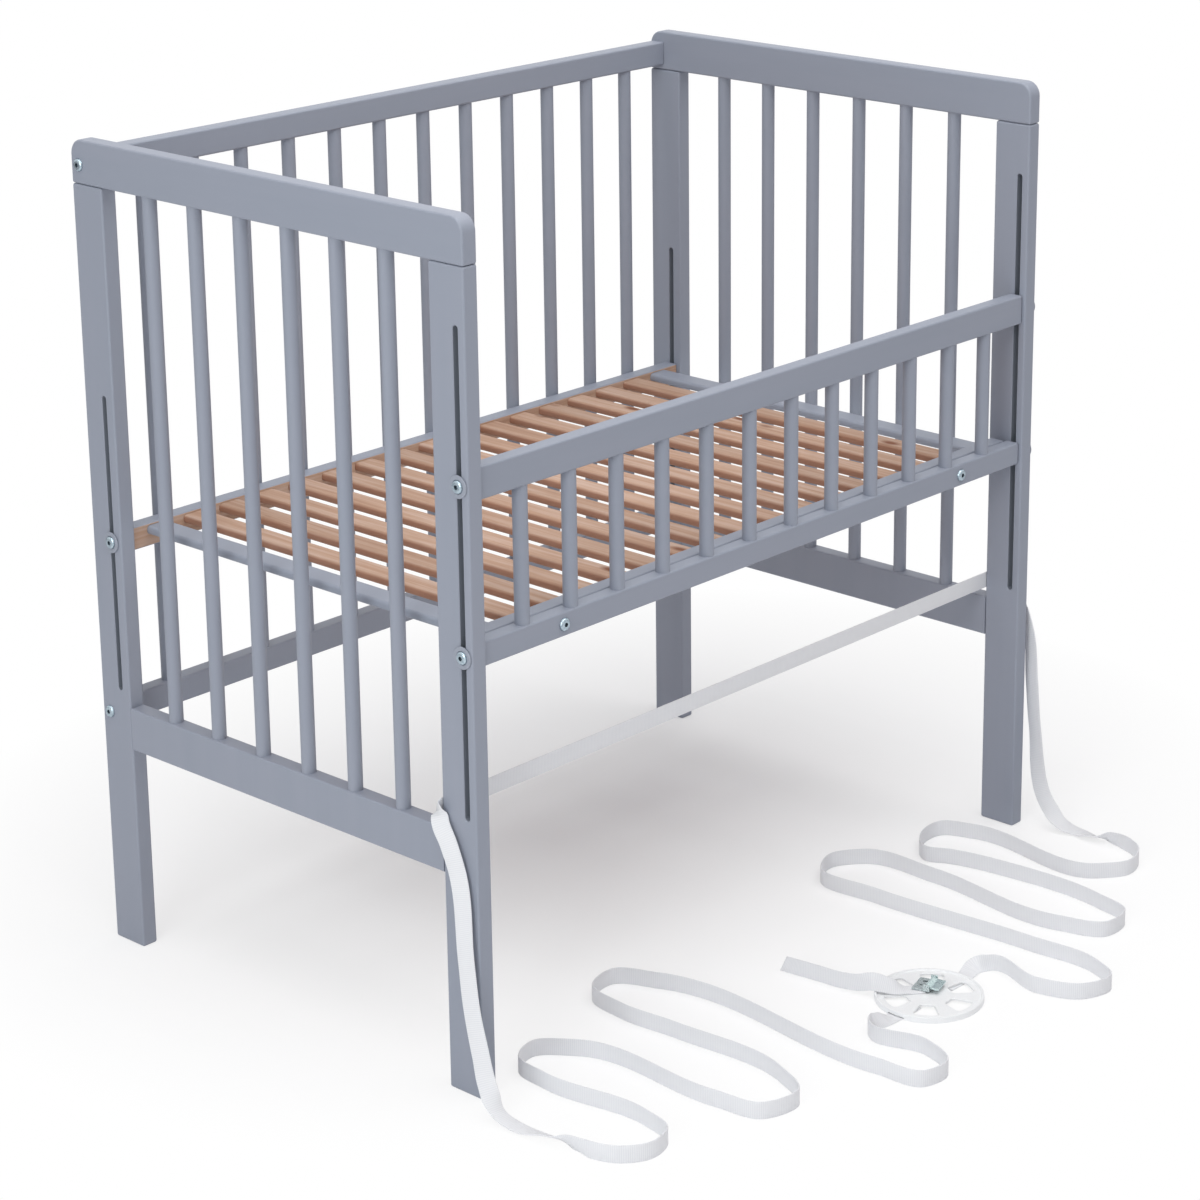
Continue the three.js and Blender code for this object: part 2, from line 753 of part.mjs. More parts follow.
// The thumb plate runs out from the boss and turns up at its end.
function buckleLever() {
  const boss = rod("x", leverBossDiameter, leverWidth, pinSides);
  const half = leverThickness / 2;
  const shape = new THREE.Shape();
  shape.moveTo(0, -half);
  shape.lineTo(leverReach / 2, -half);
  shape.lineTo(leverReach, leverLift - half);
  shape.lineTo(leverReach, leverLift + half);
  shape.lineTo(leverReach / 2, half);
  shape.lineTo(0, half);
  shape.closePath();
  const thumb = new THREE.ExtrudeGeometry(shape, { depth: leverWidth, bevelEnabled: false });
  thumb.translate(0, 0, -leverWidth / 2);
  thumb.rotateX(Math.PI / 2);
  thumb.rotateZ(-Math.PI / 2);
  const bore = rod("x", pinBore, leverWidth + 2 * cutOverrun, pinSides);
  return boss.add(solidOf(thumb)).subtract(bore);
}

function strapSet() {
  const group = new THREE.Group();
  group.position.set(-cribLength / 2, -cribDepth / 2, 0);
  const behindPost = postWidth + seatGap + strapThickness / 2;
  const spanRoute = [
    [strapSpanInset, behindPost, strapLeftHeight, 0, 0, 1],
    [cribLength - strapSpanInset, behindPost, strapRightHeight, 0, 0, 1],
  ];
  group.add(
    strap("strap_span", spanRoute),
    strap("strap_left", leftRoute),
    strap("strap_right", rightRoute),
    strap("strap_tail", tailRoute),
  );
  const disc = new THREE.Group();
  disc.position.set(discPlace[0], discPlace[1], 0);
  disc.add(piece("tension_disc", tensionDisc(), whitePlastic, 0, 0, 0));
  const buckle = new THREE.Group();
  const plateRise = discWebRise + discWebThickness + strapThickness + 2 * seatGap;
  buckle.position.set(buckleOffset[0], buckleOffset[1], plateRise);
  buckle.rotation.z = buckleTurn;
  const pin = rod("x", pinDiameter, buckleWidth, pinSides);
  buckle.add(
    piece("buckle_frame", buckleFrame(), zincSteel, 0, 0, 0),
    piece("buckle_pin", pin, zincSteel, 0, pinY, pinRise),
    piece("buckle_lever", buckleLever(), zincSteel, 0, pinY, pinRise),
  );
  disc.add(buckle);
  group.add(disc);
  return group;
}

const crib = new THREE.Group();
crib.add(
  endPanel("left", -1),
  endPanel("right", 1),
  backSide(),
  base(),
  guard(),
  slotFasteners(),
  strapSet(),
);

export default crib;
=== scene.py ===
# %% [markdown]
# # A bedside crib, dressed in Blender
# The crib is a painted wooden cot that stands beside a bed. Its slatted base and its low guard are bolted
# through slots in the posts, so both slide up and down together. A long webbing strap with a tension disc
# ties the crib to the bed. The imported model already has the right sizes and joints, so this lesson keeps
# every piece in its place and only gives each one the edges, grain and finish of the real thing.

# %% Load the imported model
import math

import bmesh
import bpy
from mathutils import Matrix, Vector


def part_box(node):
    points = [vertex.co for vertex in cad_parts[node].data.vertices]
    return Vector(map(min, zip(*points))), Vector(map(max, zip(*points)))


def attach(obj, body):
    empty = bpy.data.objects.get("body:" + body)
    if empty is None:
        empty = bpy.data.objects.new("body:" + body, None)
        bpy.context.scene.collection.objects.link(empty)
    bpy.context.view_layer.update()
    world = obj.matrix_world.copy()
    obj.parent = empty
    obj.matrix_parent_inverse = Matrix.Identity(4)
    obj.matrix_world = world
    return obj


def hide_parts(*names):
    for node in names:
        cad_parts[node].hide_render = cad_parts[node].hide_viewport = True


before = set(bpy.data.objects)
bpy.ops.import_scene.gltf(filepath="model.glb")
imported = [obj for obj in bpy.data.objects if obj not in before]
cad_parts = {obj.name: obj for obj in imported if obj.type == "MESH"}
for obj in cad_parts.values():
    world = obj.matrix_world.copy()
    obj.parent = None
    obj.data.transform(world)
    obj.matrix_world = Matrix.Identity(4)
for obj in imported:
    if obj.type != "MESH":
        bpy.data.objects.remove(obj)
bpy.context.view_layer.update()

# %% [markdown]
# ## Sizes and colours
# The sizes below are in millimetres, as a maker would write them, and one function turns them to metres.
# Colours are written as sRGB hex values, as a paint chart or a browser shows them. Cycles adds up light in
# linear values, so one function converts each colour once. A third function turns the real size of a
# pattern, such as the width of a grain line, into the scale that a texture asks for.

# %% Units and colours


def mm(*values):
    """Millimetres to metres: one number, or a vector of three."""
    metres = [value / 1000 for value in values]
    return metres[0] if len(metres) == 1 else Vector(metres)


def colour(hex_value):
    """An sRGB colour such as 9AA0AB as the linear colour that Cycles works with."""
    shares = [int(hex_value[i : i + 2], 16) / 255 for i in (0, 2, 4)]
    linear = [s / 12.92 if s <= 0.04045 else ((s + 0.055) / 1.055) ** 2.4 for s in shares]
    return (*linear, 1.0)


def scale_for(size):
    """The texture scale at which a pattern's cells are this many millimetres wide."""
    return 1000 / size


def add(tree, kind, settings=None, links=None):
    """Add one node. Settings fill its sockets, its options or a ramp's stops; links feed its sockets."""
    made = tree.nodes.new("ShaderNode" + kind)
    for key, value in (settings or {}).items():
        if key == "stops":
            ramp = made.color_ramp.elements
            while len(ramp) < len(value):
                ramp.new(1)
            for element, (position, shade) in zip(ramp, value):
                element.position = position
                element.color = shade
        elif isinstance(key, int) or key in made.inputs:
            made.inputs[key].default_value = value
        else:
            setattr(made, key, value)
    for key, source in (links or {}).items():
        tree.links.new(source, made.inputs[key])
    return made


def maths(tree, operation, *values):
    """A sum of up to three values, each a number or what another node puts out."""
    fixed, linked = {"operation": operation}, {}
    for socket, value in enumerate(values):
        target = fixed if isinstance(value, (int, float)) else linked
        target[socket] = value
    return add(tree, "Math", fixed, linked).outputs[0]


def new_finish(name, settings):
    """A material with one Principled shader, whose constant values sit on its own sockets."""
    finish = bpy.data.materials.new(name)
    finish.use_nodes = True
    tree = finish.node_tree
    tree.nodes.clear()
    shader = add(tree, "BsdfPrincipled", settings)
    output = add(tree, "OutputMaterial", links={"Surface": shader.outputs["BSDF"]})
    output.location.x = 300
    return finish, tree, shader


def wire(tree, shader, shade, bump):
    tree.links.new(shade, shader.inputs["Base Color"])
    tree.links.new(bump.outputs["Normal"], shader.inputs["Normal"])


print("grey paint in linear light:", [round(v, 3) for v in colour("959AA5")])

# %% [markdown]
# ## From a mesh to a piece
# A mesh that is ready becomes an object. Each object gets its finishes, rides on one body of the packed
# model, and takes the place of the plain solid that it stands for.

# %% Placing a piece


def object_from(name, mesh):
    bmesh.ops.recalc_face_normals(mesh, faces=mesh.faces)
    data = bpy.data.meshes.new(name)
    mesh.to_mesh(data)
    mesh.free()
    made = bpy.data.objects.new(name, data)
    bpy.context.scene.collection.objects.link(made)
    return made


def place(piece, finishes, body, node):
    """Give a piece its finishes and the body it rides on, and hide the solid it stands for."""
    piece.data.materials.clear()
    for finish in finishes:
        piece.data.materials.append(finish)
    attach(piece, body)
    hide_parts(node)


print("nodes to dress:", len(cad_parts))

# %% [markdown]
# The webbing's edges, the height slots, the bars, the disc's windows and the lever all have round parts, so
# one function lists the points of an arc.

# %% Arcs


def arc(centre, radius, start, stop, steps):
    """Points on an arc from one angle to another, both ends included."""
    angles = [start + (stop - start) * k / steps for k in range(steps + 1)]
    return [Vector(centre) + radius * Vector((math.cos(angle), math.sin(angle))) for angle in angles]


quarter = arc((0, 0), 1, 0, math.pi / 2, 2)
print("a quarter arc in two steps:", [tuple(round(v, 2) for v in point) for point in quarter])

# %% [markdown]
# ## The camera
# The photograph was taken from in front of the left end, a little above the top rails, with a long lens.
# The camera's place was worked out from the crib's own corners, in pixels of the square picture. A studio
# picture is often cropped after the shot, and then the middle of the lens isn't the middle of the picture.
# Blender's lens shift says the same.

# %% Camera
picture_size = 1200
focal_pixels = 3163.55
shift_pixels = (-100, -200)
sensor_width = 36
azimuth = math.radians(-48.577)
elevation = math.radians(16.002)
camera_roll = math.radians(-0.216)
camera_spot = mm(-2539.5, -2425.0, 1602.8)
toward_camera = Vector(
    (
        math.sin(azimuth) * math.cos(elevation),
        -math.cos(azimuth) * math.cos(elevation),
        math.sin(elevation),
    )
)
level_right = Vector((0, 0, 1)).cross(toward_camera).normalized()
level_up = toward_camera.cross(level_right)
right = level_right * math.cos(camera_roll) + level_up * math.sin(camera_roll)
up = level_up * math.cos(camera_roll) - level_right * math.sin(camera_roll)

camera_data = bpy.data.cameras.new("studio_camera")
camera_data.sensor_width = sensor_width
camera_data.lens = sensor_width * focal_pixels / picture_size
camera_data.shift_x = shift_pixels[0] / picture_size
camera_data.shift_y = shift_pixels[1] / picture_size
camera = bpy.data.objects.new("studio_camera", camera_data)
bpy.context.scene.collection.objects.link(camera)
turn = Matrix((right, up, toward_camera)).transposed().to_4x4()
camera.matrix_world = Matrix.Translation(camera_spot) @ turn
camera_data.clip_end = 50
bpy.context.scene.camera = camera
print("lens in millimetres:", round(camera_data.lens, 1))

# %% [markdown]
# ## Woven webbing
# The strap is polyester webbing, woven flat on a narrow loom. Its weft crosses the strap, which leaves fine
# ribs from edge to edge, and the warp threads run along it. Both are drawn as waves in the bump and in the
# colour, along the strap's own length and width, so that the ribs turn with each bend. Real ribs lie about
# 1.3 mm apart, which is near the size of a pixel here, so they are drawn at 2.2 mm. Matt fibres give the
# cloth its high roughness and a little sheen at grazing angles, and its white varies a little in patches.

# %% Finish: white polyester webbing
rib_pitch, thread_pitch = mm(2.2), mm(1.1)
patch_size = 100 / 6


def make_webbing():
    finish, tree, shader = new_finish(
        "polyester_webbing_woven",
        {"Roughness": 0.85, "Specular IOR Level": 0.3, "Sheen Weight": 0.25, "Sheen Roughness": 0.5},
    )
    cloth = add(tree, "UVMap", {"uv_map": "along_and_across"})
    split = add(tree, "SeparateXYZ", links={"Vector": cloth.outputs["UV"]})
    weft = maths(tree, "SINE", maths(tree, "MULTIPLY", split.outputs["X"], 2 * math.pi / rib_pitch))
    warp = maths(tree, "SINE", maths(tree, "MULTIPLY", split.outputs["Y"], 2 * math.pi / thread_pitch))
    weave = maths(tree, "MULTIPLY_ADD", warp, 0.35, weft)
    patches = {"Scale": scale_for(patch_size), "Detail": 3}
    cloud = add(tree, "TexNoise", patches, {"Vector": cloth.outputs["UV"]})
    shade = add(tree, "MapRange", {1: -1.2, 2: 1.2, 3: 0.0, 4: 1.0}, {0: weave})
    mixed = maths(tree, "MULTIPLY_ADD", cloud.outputs["Fac"], 0.5, shade.outputs[0])
    stops = [(0.1, colour("E0E1E5")), (0.7, colour("E5E6E9")), (1.0, colour("E9EAEC"))]
    ramp = add(tree, "ValToRGB", {"stops": stops}, {"Fac": mixed})
    bump = add(tree, "Bump", {"Strength": 0.1, "Distance": 0.0003}, {"Height": weave})
    wire(tree, shader, ramp.outputs["Color"], bump)
    return finish


webbing = make_webbing()
print("finish:", webbing.name)

# %% [markdown]
# ## The strap
# The strap runs on edge behind both front posts. On each side it comes forward round the post, hangs down
# the post, turns flat where it meets the floor, and then stands on edge in long loops up to the disc. The
# route is a list of points in millimetres, measured from the left front foot. A point in the air, or where
# the strap twists, also says which way its width points. A point with two numbers is one where the strap
# stands on edge on the floor. A smooth curve through the points gives the line, and a thin section with
# round edges is carried along it.

# %% The strap's routes
strap_width = 20
strap_thickness = 1.5
floor_clearance = 0.3
crib_length, crib_depth = 950, 600
crib_corner = mm(-crib_length / 2, -crib_depth / 2, 0)

span_route = [(5, 50.05, 316, 0, 0, 1), (945, 50.05, 314.5, 0, 0, 1)]
left_route = [
    (4.7, 50.05, 316, 0, 0, 1),
    (-2.5, 50, 315, 0.25, 0, 0.97),
    (-7.5, 45, 304, 0.5, -0.5, 0.7),
    (-9.5, 32, 284, 0.4, -0.8, 0.4),
    (-8.5, 21.7, 257, 0.32, -0.8, 0.2),
    (-9.5, 10, 158, 0.22, -0.95, 0.1),
    (-11, 2, 107, 0.27, -0.95, 0.15),
    (-14, -12.7, 61, 0.4, -0.85, 0.25),
    (-17, -24, 33, 0.6, -0.7, 0.25),
    (-20, -42, 9.5, 0.97, 0.05, -0.08),
    (-19.5, -66, 3, 0.95, 0.3, -0.02),
    (-14.5, -113, 5.8, 0.77, 0.36, -0.46),
    (-14, -147, 10.2, 0.25, 0.05, -0.9),
    (-13, -166, 10.3, 0, 0, -1),
    (-3, -191),
    (27, -212),
    (59, -204),
    (71, -164),
    (60, -30),
    (69, 16),
    (103, 28),
    (132, -2),
    (148, -190),
    (160, -243),
    (205, -254),
    (233, -205),
    (234, -60),
    (229, 20),
    (241, 71),
    (284, 80),
    (309, 35),
    (312, -270),
    (323, -327),
    (356, -332),
    (380, -285),
    (370, -219),
    (378, -209),
    (402, -207, 7, 0, -0.8, -0.6),
    (425, -207, 1.3, 0, -1, 0),
    (462, -207, 1.3, 0, -1, 0),
]
right_route = [
    (945.3, 50.05, 314.5, 0, 0, 1),
    (955, 50, 314.5, -0.12, 0, 1),
    (959.5, 47, 307, -0.5, -0.35, 0.75),
    (960.5, 18, 285, -0.3, -0.85, 0.4),
    (959.5, 3, 250, -0.2, -0.9, 0.3),
    (958.5, -4, 190, -0.1, -0.95, 0.25),
    (960, -9.5, 127, -0.12, -0.92, 0.36),
    (960, -33, 28, 0.4, -0.75, 0.4),
    (957.5, -56, 10.3, 0.96, -0.05, 0.25),
    (963.5, -72, 3.7, 0.97, 0.2, 0.08),
    (960.5, -106, 6.3, 0.76, 0.43, -0.38),
    (963, -130, 10, 0.28, 0.22, -0.87),
    (960, -150, 10.3, 0, 0, -1),
    (944, -178),
    (905, -191),
    (871, -168),
    (867, 15),
    (850, 50),
    (818, 52),
    (777, 18),
    (789, -10),
    (804, -90),
    (802, -217),
    (786, -265),
    (745, -267),
    (722, -215),
    (732, -30),
    (722, 68),
    (685, 92),
    (645, 75),
    (642, -10),
    (657, -222),
    (657, -312),
    (636, -348),
    (598, -338),
    (576, -290),
    (587, -218),
    (578, -207, 7.6, 0, -0.8, -0.6),
    (554, -207, 1.9, 0, -1, 0),
    (518, -207, 1.3, 0, -1, 0),
]
tail_route = [
    (493, -195.5, 6.05, 0.61, 0.79, 0),
    (479, -184.5, 6.1, 0.61, 0.79, 0),
    (463, -170, 13, 0.5, 0.56, 0.66),
    (453, -156, 17, 0.35, 0.3, 0.88),
    (447, -140, 13, 0.05, 0.02, 1),
    (443, -115, 10.3, 0, 0, 1),
    (440, -90, 10.3, 0, 0, 1),
    (433, -39, 10.3, 0, 0, 1),
]
print("route points:", len(left_route), len(right_route), len(tail_route))

# %% A smooth line through a route


def strap_line(route, step=3.0):
    """Points and width directions along a cubic curve through the route, about step millimetres apart."""
    standing = (strap_width / 2 + floor_clearance, 0, 0, -1)
    rows = [tuple(row) if len(row) > 2 else (*row, *standing) for row in route]
    points = [Vector(row[:3]) for row in rows]
    widths = [Vector(row[3:]).normalized() for row in rows]
    slopes = []
    for i, point in enumerate(points):
        before = points[max(i - 1, 0)]
        after = points[min(i + 1, len(points) - 1)]
        back, ahead = max((point - before).length, 1e-6), max((after - point).length, 1e-6)
        if i in (0, len(points) - 1):
            slopes.append((after - before).normalized())
            continue
        bend = (point - before) / back * ahead + (after - point) / ahead * back
        slopes.append(bend / (back + ahead))
    line, across = [], []
    for i in range(len(points) - 1):
        span = (points[i + 1] - points[i]).length
        count = max(1, round(span / step))
        for k in range(count + (i == len(points) - 2)):
            t = k / count
            start, leave = 2 * t**3 - 3 * t**2 + 1, t**3 - 2 * t**2 + t
            finish, arrive = 3 * t**2 - 2 * t**3, t**3 - t**2
            near = points[i] * start + slopes[i] * (leave * span)
            line.append(near + points[i + 1] * finish + slopes[i + 1] * (arrive * span))
            ease = t * t * (3 - 2 * t)
            across.append((widths[i] * (1 - ease) + widths[i + 1] * ease).normalized())
    return line, across


def line_length(line):
    return sum((b - a).length for a, b in zip(line, line[1:]))


smooth_left, _ = strap_line(left_route)
print("left side in millimetres:", round(line_length(smooth_left)))

# %% The webbing's section


def webbing_section():
    """Half-round edges joined by flat faces: offsets across the width and through the thickness."""
    half, thick = strap_width / 2, strap_thickness / 2
    edge = arc((half - thick, 0), thick, math.pi / 2, -math.pi / 2, 4)
    return edge + [-corner for corner in edge]


def section_girth(section):
    """How far each corner lies along the section's outline, in metres."""
    girth = [0.0]
    for k, (u0, v0) in enumerate(section):
        u1, v1 = section[(k + 1) % len(section)]
        girth.append(girth[-1] + math.hypot(u1 - u0, v1 - v0) / 1000)
    return girth


print("round the webbing in millimetres:", round(section_girth(webbing_section())[-1] * 1000, 1))

# %% Carrying the section along the line
slant_reach = 30


def strap_rings(mesh, line, across, slant):
    """The section's corners at each point of the line, and how far along each ring lies in metres."""
    whole = line_length(line)
    section = webbing_section()
    rings, along = [], []
    travelled = 0.0
    for i, point in enumerate(line):
        ahead = (line[min(i + 1, len(line) - 1)] - line[max(i - 1, 0)]).normalized()
        width = (across[i] - ahead * across[i].dot(ahead)).normalized()
        through = ahead.cross(width)
        if i:
            travelled += (point - line[i - 1]).length
        near_end = max(0, 1 - (whole - travelled) / slant_reach)
        ring = []
        for u, v in section:
            back = ahead * slant * near_end * (0.5 + u / strap_width)
            corner = mm(*(point + width * u + through * v - back)) + crib_corner
            ring.append(mesh.verts.new(corner))
        rings.append(ring)
        along.append(travelled / 1000)
    return rings, along


def make_strap(node, route, slant=0):
    """A strap along a route. A slant in millimetres is how far its far end's upper corner is cut back."""
    line, across = strap_line(route)
    section = webbing_section()
    girth = section_girth(section)
    mesh = bmesh.new()
    layer = mesh.loops.layers.uv.new("along_and_across")
    rings, along = strap_rings(mesh, line, across, slant)
    for i in range(len(rings) - 1):
        for k in range(len(section)):
            after = (k + 1) % len(section)
            face = mesh.faces.new((rings[i][k], rings[i][after], rings[i + 1][after], rings[i + 1][k]))
            face.smooth = True
            corners = ((i, k), (i, k + 1), (i + 1, k + 1), (i + 1, k))
            for loop, (row, column) in zip(face.loops, corners):
                loop[layer].uv = (along[row], girth[column])
    mesh.faces.new(rings[0][::-1])
    mesh.faces.new(rings[-1])
    strap = object_from(node + "_woven", mesh)
    place(strap, [webbing], "frame", node)
    path = [mm(*point) + crib_corner for point in line]
    return strap, path, line_length(line) / 1000


print("slanted end spread over millimetres:", slant_reach)

# %% [markdown]
# The strap is one piece of webbing, drawn in four stretches: the taut span behind the posts, the two sides
# that lie in loops, and the tail past the buckle. The tail's end was cut at a slant, so that it threads
# easily.

# %% The four stretches
span_strap, span_path, span_length = make_strap("strap_span", span_route)
left_strap, left_path, left_length = make_strap("strap_left", left_route)
right_strap, right_path, right_length = make_strap("strap_right", right_route)
tail_strap, tail_path, tail_length = make_strap("strap_tail", tail_route, slant=9)
strap_lengths = (span_length, left_length, right_length, tail_length)
print("strap lengths in metres:", [round(length, 3) for length in strap_lengths])

# %% [markdown]
# ## Painted wood
# The frame is solid wood under an opaque satin paint, which was sprayed on. The paint hides the wood's
# colour, but not all of its relief: long fine grain lines still catch the light, and sprayed paint has a
# very fine ripple. Grain runs along each board, so the finish is made three times, for boards that lie
# along x, along y and along z. Grain lines are about 1 mm wide and many centimetres long. They are drawn
# 2.4 mm wide, because finer ones don't show at this distance. The coat's tone varies a little, too.

# %% Finish: sprayed satin paint on wood
line_width, line_reach = 2.381, 111.1
tone_width, tone_reach = 22.22, 250
ripple_size = 1.4286


def stretched(tree, grain, width, length, source):
    """Coordinates for a pattern of this width in millimetres, and this length along the grain."""
    scale = [scale_for(width)] * 3
    scale["xyz".index(grain)] = scale_for(length)
    return add(tree, "Mapping", {"Scale": scale}, {"Vector": source})


def make_paint(grain):
    finish, tree, shader = new_finish(
        "wood_sprayed_with_satin_paint_" + grain, {"Roughness": 0.46, "Specular IOR Level": 0.4}
    )
    own = add(tree, "TexCoord").outputs["Object"]
    lines = stretched(tree, grain, line_width, line_reach, own)
    grain_lines = add(tree, "TexNoise", {"Scale": 1, "Detail": 4}, {"Vector": lines.outputs["Vector"]})
    ripple = add(tree, "TexNoise", {"Scale": scale_for(ripple_size), "Detail": 2}, {"Vector": own})
    relief = maths(tree, "MULTIPLY_ADD", ripple.outputs["Fac"], 0.25, grain_lines.outputs["Fac"])
    bump = add(tree, "Bump", {"Strength": 0.12, "Distance": 0.0004}, {"Height": relief})
    wide = stretched(tree, grain, tone_width, tone_reach, own)
    cloud = add(tree, "TexNoise", {"Scale": 1, "Detail": 3}, {"Vector": wide.outputs["Vector"]})
    stops = [(0.3, colour("9399A6")), (0.7, colour("969BA8"))]
    ramp = add(tree, "ValToRGB", {"stops": stops}, {"Fac": cloud.outputs["Fac"]})
    wire(tree, shader, ramp.outputs["Color"], bump)
    return finish


paint = {grain: make_paint(grain) for grain in "xyz"}
print("finishes:", [finish.name for finish in paint.values()])

# %% [markdown]
# ## Natural slats
# The slats are planed softwood without paint, pinkish tan on top. Grain runs along each slat in bands about
# 8 mm wide and 200 mm long. Their rounded long edges, which get less light, take a darker, redder colour as
# painted shade. Each slat comes from another board, so each gets a tone and a stretch of grain of its own.
# Planed bare wood is fairly matt, with shallow relief between its early and its late growth.

# %% Grain bands of planed softwood
band_width, band_length = 100 / 13, 200
wood_stops = [
    (0.25, colour("A8826B")),
    (0.45, colour("BA9780")),
    (0.6, colour("C4A693")),
    (0.8, colour("CDB4A5")),
]


def grain_bands(tree, grain, source):
    """Noise drawn out along the grain."""
    drawn_out = stretched(tree, grain, band_width, band_length, source)
    settings = {"Scale": 1, "Detail": 5, "Roughness": 0.6, "Distortion": 0.6}
    return add(tree, "TexNoise", settings, {"Vector": drawn_out.outputs["Vector"]})


print("grain bands in millimetres:", round(band_width, 1), "by", band_length)

# %% [markdown]
# Small branches leave a dark, reddish knot here and there. The cells of a Voronoi texture lie apart at
# random, about as far as knots do in a board, and only the middle of each cell turns dark.

# %% Knots
knot_apart, knot_along = 53.476, 113.636
knot_colour = colour("7A4A30")
knot_stops = [(0.06, (1, 1, 1, 1)), (0.15, (0, 0, 0, 1))]


def knotted(tree, grain, source, wood):
    """The wood's colour with dark knots mixed into it."""
    spread = stretched(tree, grain, knot_apart, knot_along, source)
    settings = {"Scale": 1, "Randomness": 1.0}
    cells = add(tree, "TexVoronoi", settings, {"Vector": spread.outputs["Vector"]})
    knot = add(tree, "ValToRGB", {"stops": knot_stops}, {"Fac": cells.outputs["Distance"]})
    return add(
        tree,
        "Mix",
        {"data_type": "RGBA", 7: knot_colour},
        {0: knot.outputs["Color"], 6: wood.outputs["Color"]},
    )


print("knots lie about", round(knot_along), "mm apart along the grain")

# %% [markdown]
# Blender gives each object a random number of its own. Here it moves the grain by up to 7 m, as if each
# board came from another part of the tree, and makes the whole board a little lighter or darker.

# %% Finish: planed natural wood
board_shift = 7.0
# Painted shade: this darker, redder colour goes on the slats' sides, which get less light.
side_shade_colour = colour("9A6D57")


def make_natural(name, grain, side_shade_share):
    """Bare wood, whose faces that don't look up take a share of a darker colour, painted shade."""
    finish, tree, shader = new_finish(name, {"Roughness": 0.62, "Specular IOR Level": 0.3})
    own = add(tree, "ObjectInfo")
    spot = add(tree, "TexCoord")
    shift = add(
        tree,
        "VectorMath",
        {"operation": "MULTIPLY_ADD", 1: (board_shift, board_shift, board_shift)},
        {0: own.outputs["Random"], 2: spot.outputs["Object"]},
    )
    bands = grain_bands(tree, grain, shift.outputs[0])
    wood = add(tree, "ValToRGB", {"stops": wood_stops}, {"Fac": bands.outputs["Fac"]})
    tone = add(tree, "MapRange", {3: 0.86, 4: 1.06}, {0: own.outputs["Random"]})
    toned = add(tree, "HueSaturation", links={"Color": wood.outputs["Color"], "Value": tone.outputs[0]})
    with_knots = knotted(tree, grain, shift.outputs[0], toned)
    # Faces that turn away from the light above take the painted shade colour.
    surface = add(tree, "NewGeometry")
    facing = add(tree, "SeparateXYZ", links={"Vector": surface.outputs["Normal"]})
    edge = add(tree, "MapRange", {1: 0.3, 2: 0.95, 3: side_shade_share, 4: 0.0}, {0: facing.outputs["Z"]})
    finished = add(
        tree,
        "Mix",
        {"data_type": "RGBA", 7: side_shade_colour},
        {0: edge.outputs[0], 6: with_knots.outputs[2]},
    )
    bump = add(tree, "Bump", {"Strength": 0.3, "Distance": 0.0004}, {"Height": bands.outputs["Fac"]})
    wire(tree, shader, finished.outputs[2], bump)
    return finish


slat_wood = make_natural("softwood_planed_along_y", "y", 0.85)
rail_wood = make_natural("softwood_planed_along_x", "x", 0.0)
print("finishes:", slat_wood.name, rail_wood.name)

# %% [markdown]
# ## Boards with eased edges
# A cabinet maker runs a small round cutter along each sawn edge before painting, because paint doesn't hold
# on a sharp one. Blender's bevel makes the same rounding. Where a rail butts against a post, its end is
# sawn off square and only just broken. The flat faces must stay flat in the light, so a Weighted Normal
# modifier lets the large faces decide how the light turns at each corner.

# %% Boards with eased edges
edge_radius = 2.5
sawn_radius = 0.5


def edge_run(edge, axis):
    """How far an edge runs along one axis, in metres."""
    return abs(edge.verts[0].co[axis] - edge.verts[1].co[axis])


def round_edges(mesh, edges, radius, segments):
    bmesh.ops.bevel(mesh, geom=edges, offset=mm(radius), segments=segments, profile=0.5, affect="EDGES")


def eased_box(low, high, ease=edge_radius, segments=3, sawn=None):
    """A box between two corners with rounded edges. Its ends across the axis "sawn" stay nearly sharp."""
    mesh = bmesh.new()
    bmesh.ops.create_cube(mesh, size=1)
    middle, size = (low + high) / 2, high - low
    for vert in mesh.verts:
        vert.co = middle + Vector([vert.co[i] * size[i] for i in range(3)])
    if sawn is None:
        round_edges(mesh, mesh.edges[:], ease, segments)
        return mesh
    round_edges(mesh, [edge for edge in mesh.edges if edge_run(edge, sawn) > 0], ease, segments)
    round_edges(mesh, [edge for edge in mesh.edges if edge_run(edge, sawn) < mm(1)], sawn_radius, 2)
    return mesh


print("a board's edge radius in millimetres:", edge_radius)

# %% [markdown]
# Slots, sockets and windows are cut out of a piece by the Boolean modifier, whose result is kept as the
# piece's own mesh.

# %% Cuts and shading
smooth_angle = 35


def cut_away(piece, cutter_mesh, solver="EXACT"):
    """Take a cutter's volume out of a piece, and keep the result as the piece's own mesh."""
    cutter = object_from(piece.name + "_cutter", cutter_mesh)
    step = piece.modifiers.new("cut", "BOOLEAN")
    step.operation = "DIFFERENCE"
    step.solver = solver
    step.object = cutter
    graph = bpy.context.evaluated_depsgraph_get()
    result = bpy.data.meshes.new_from_object(piece.evaluated_get(graph))
    piece.modifiers.clear()
    old = piece.data
    piece.data = result
    result.name = piece.name
    bpy.data.meshes.remove(old)
    bpy.data.objects.remove(cutter)


def soften(piece, angle=smooth_angle):
    """Smooth shading up to an angle, with flat faces kept flat."""
    piece.data.polygons.foreach_set("use_smooth", [True] * len(piece.data.polygons))
    piece.data.set_sharp_from_angle(angle=math.radians(angle))
    weighted = piece.modifiers.new("flat_faces", "WEIGHTED_NORMAL")
    weighted.keep_sharp = True
    weighted.weight = 100


print("faces that meet at less than", smooth_angle, "degrees are shaded as one")

# %% [markdown]
# A bottom rail and its dowels are glued into one piece. The dowels reach a few millimetres into the rails
# below and above them.

# %% Dowels
dowel_radius = mm(16) / 2
dowel_grip = mm(6)


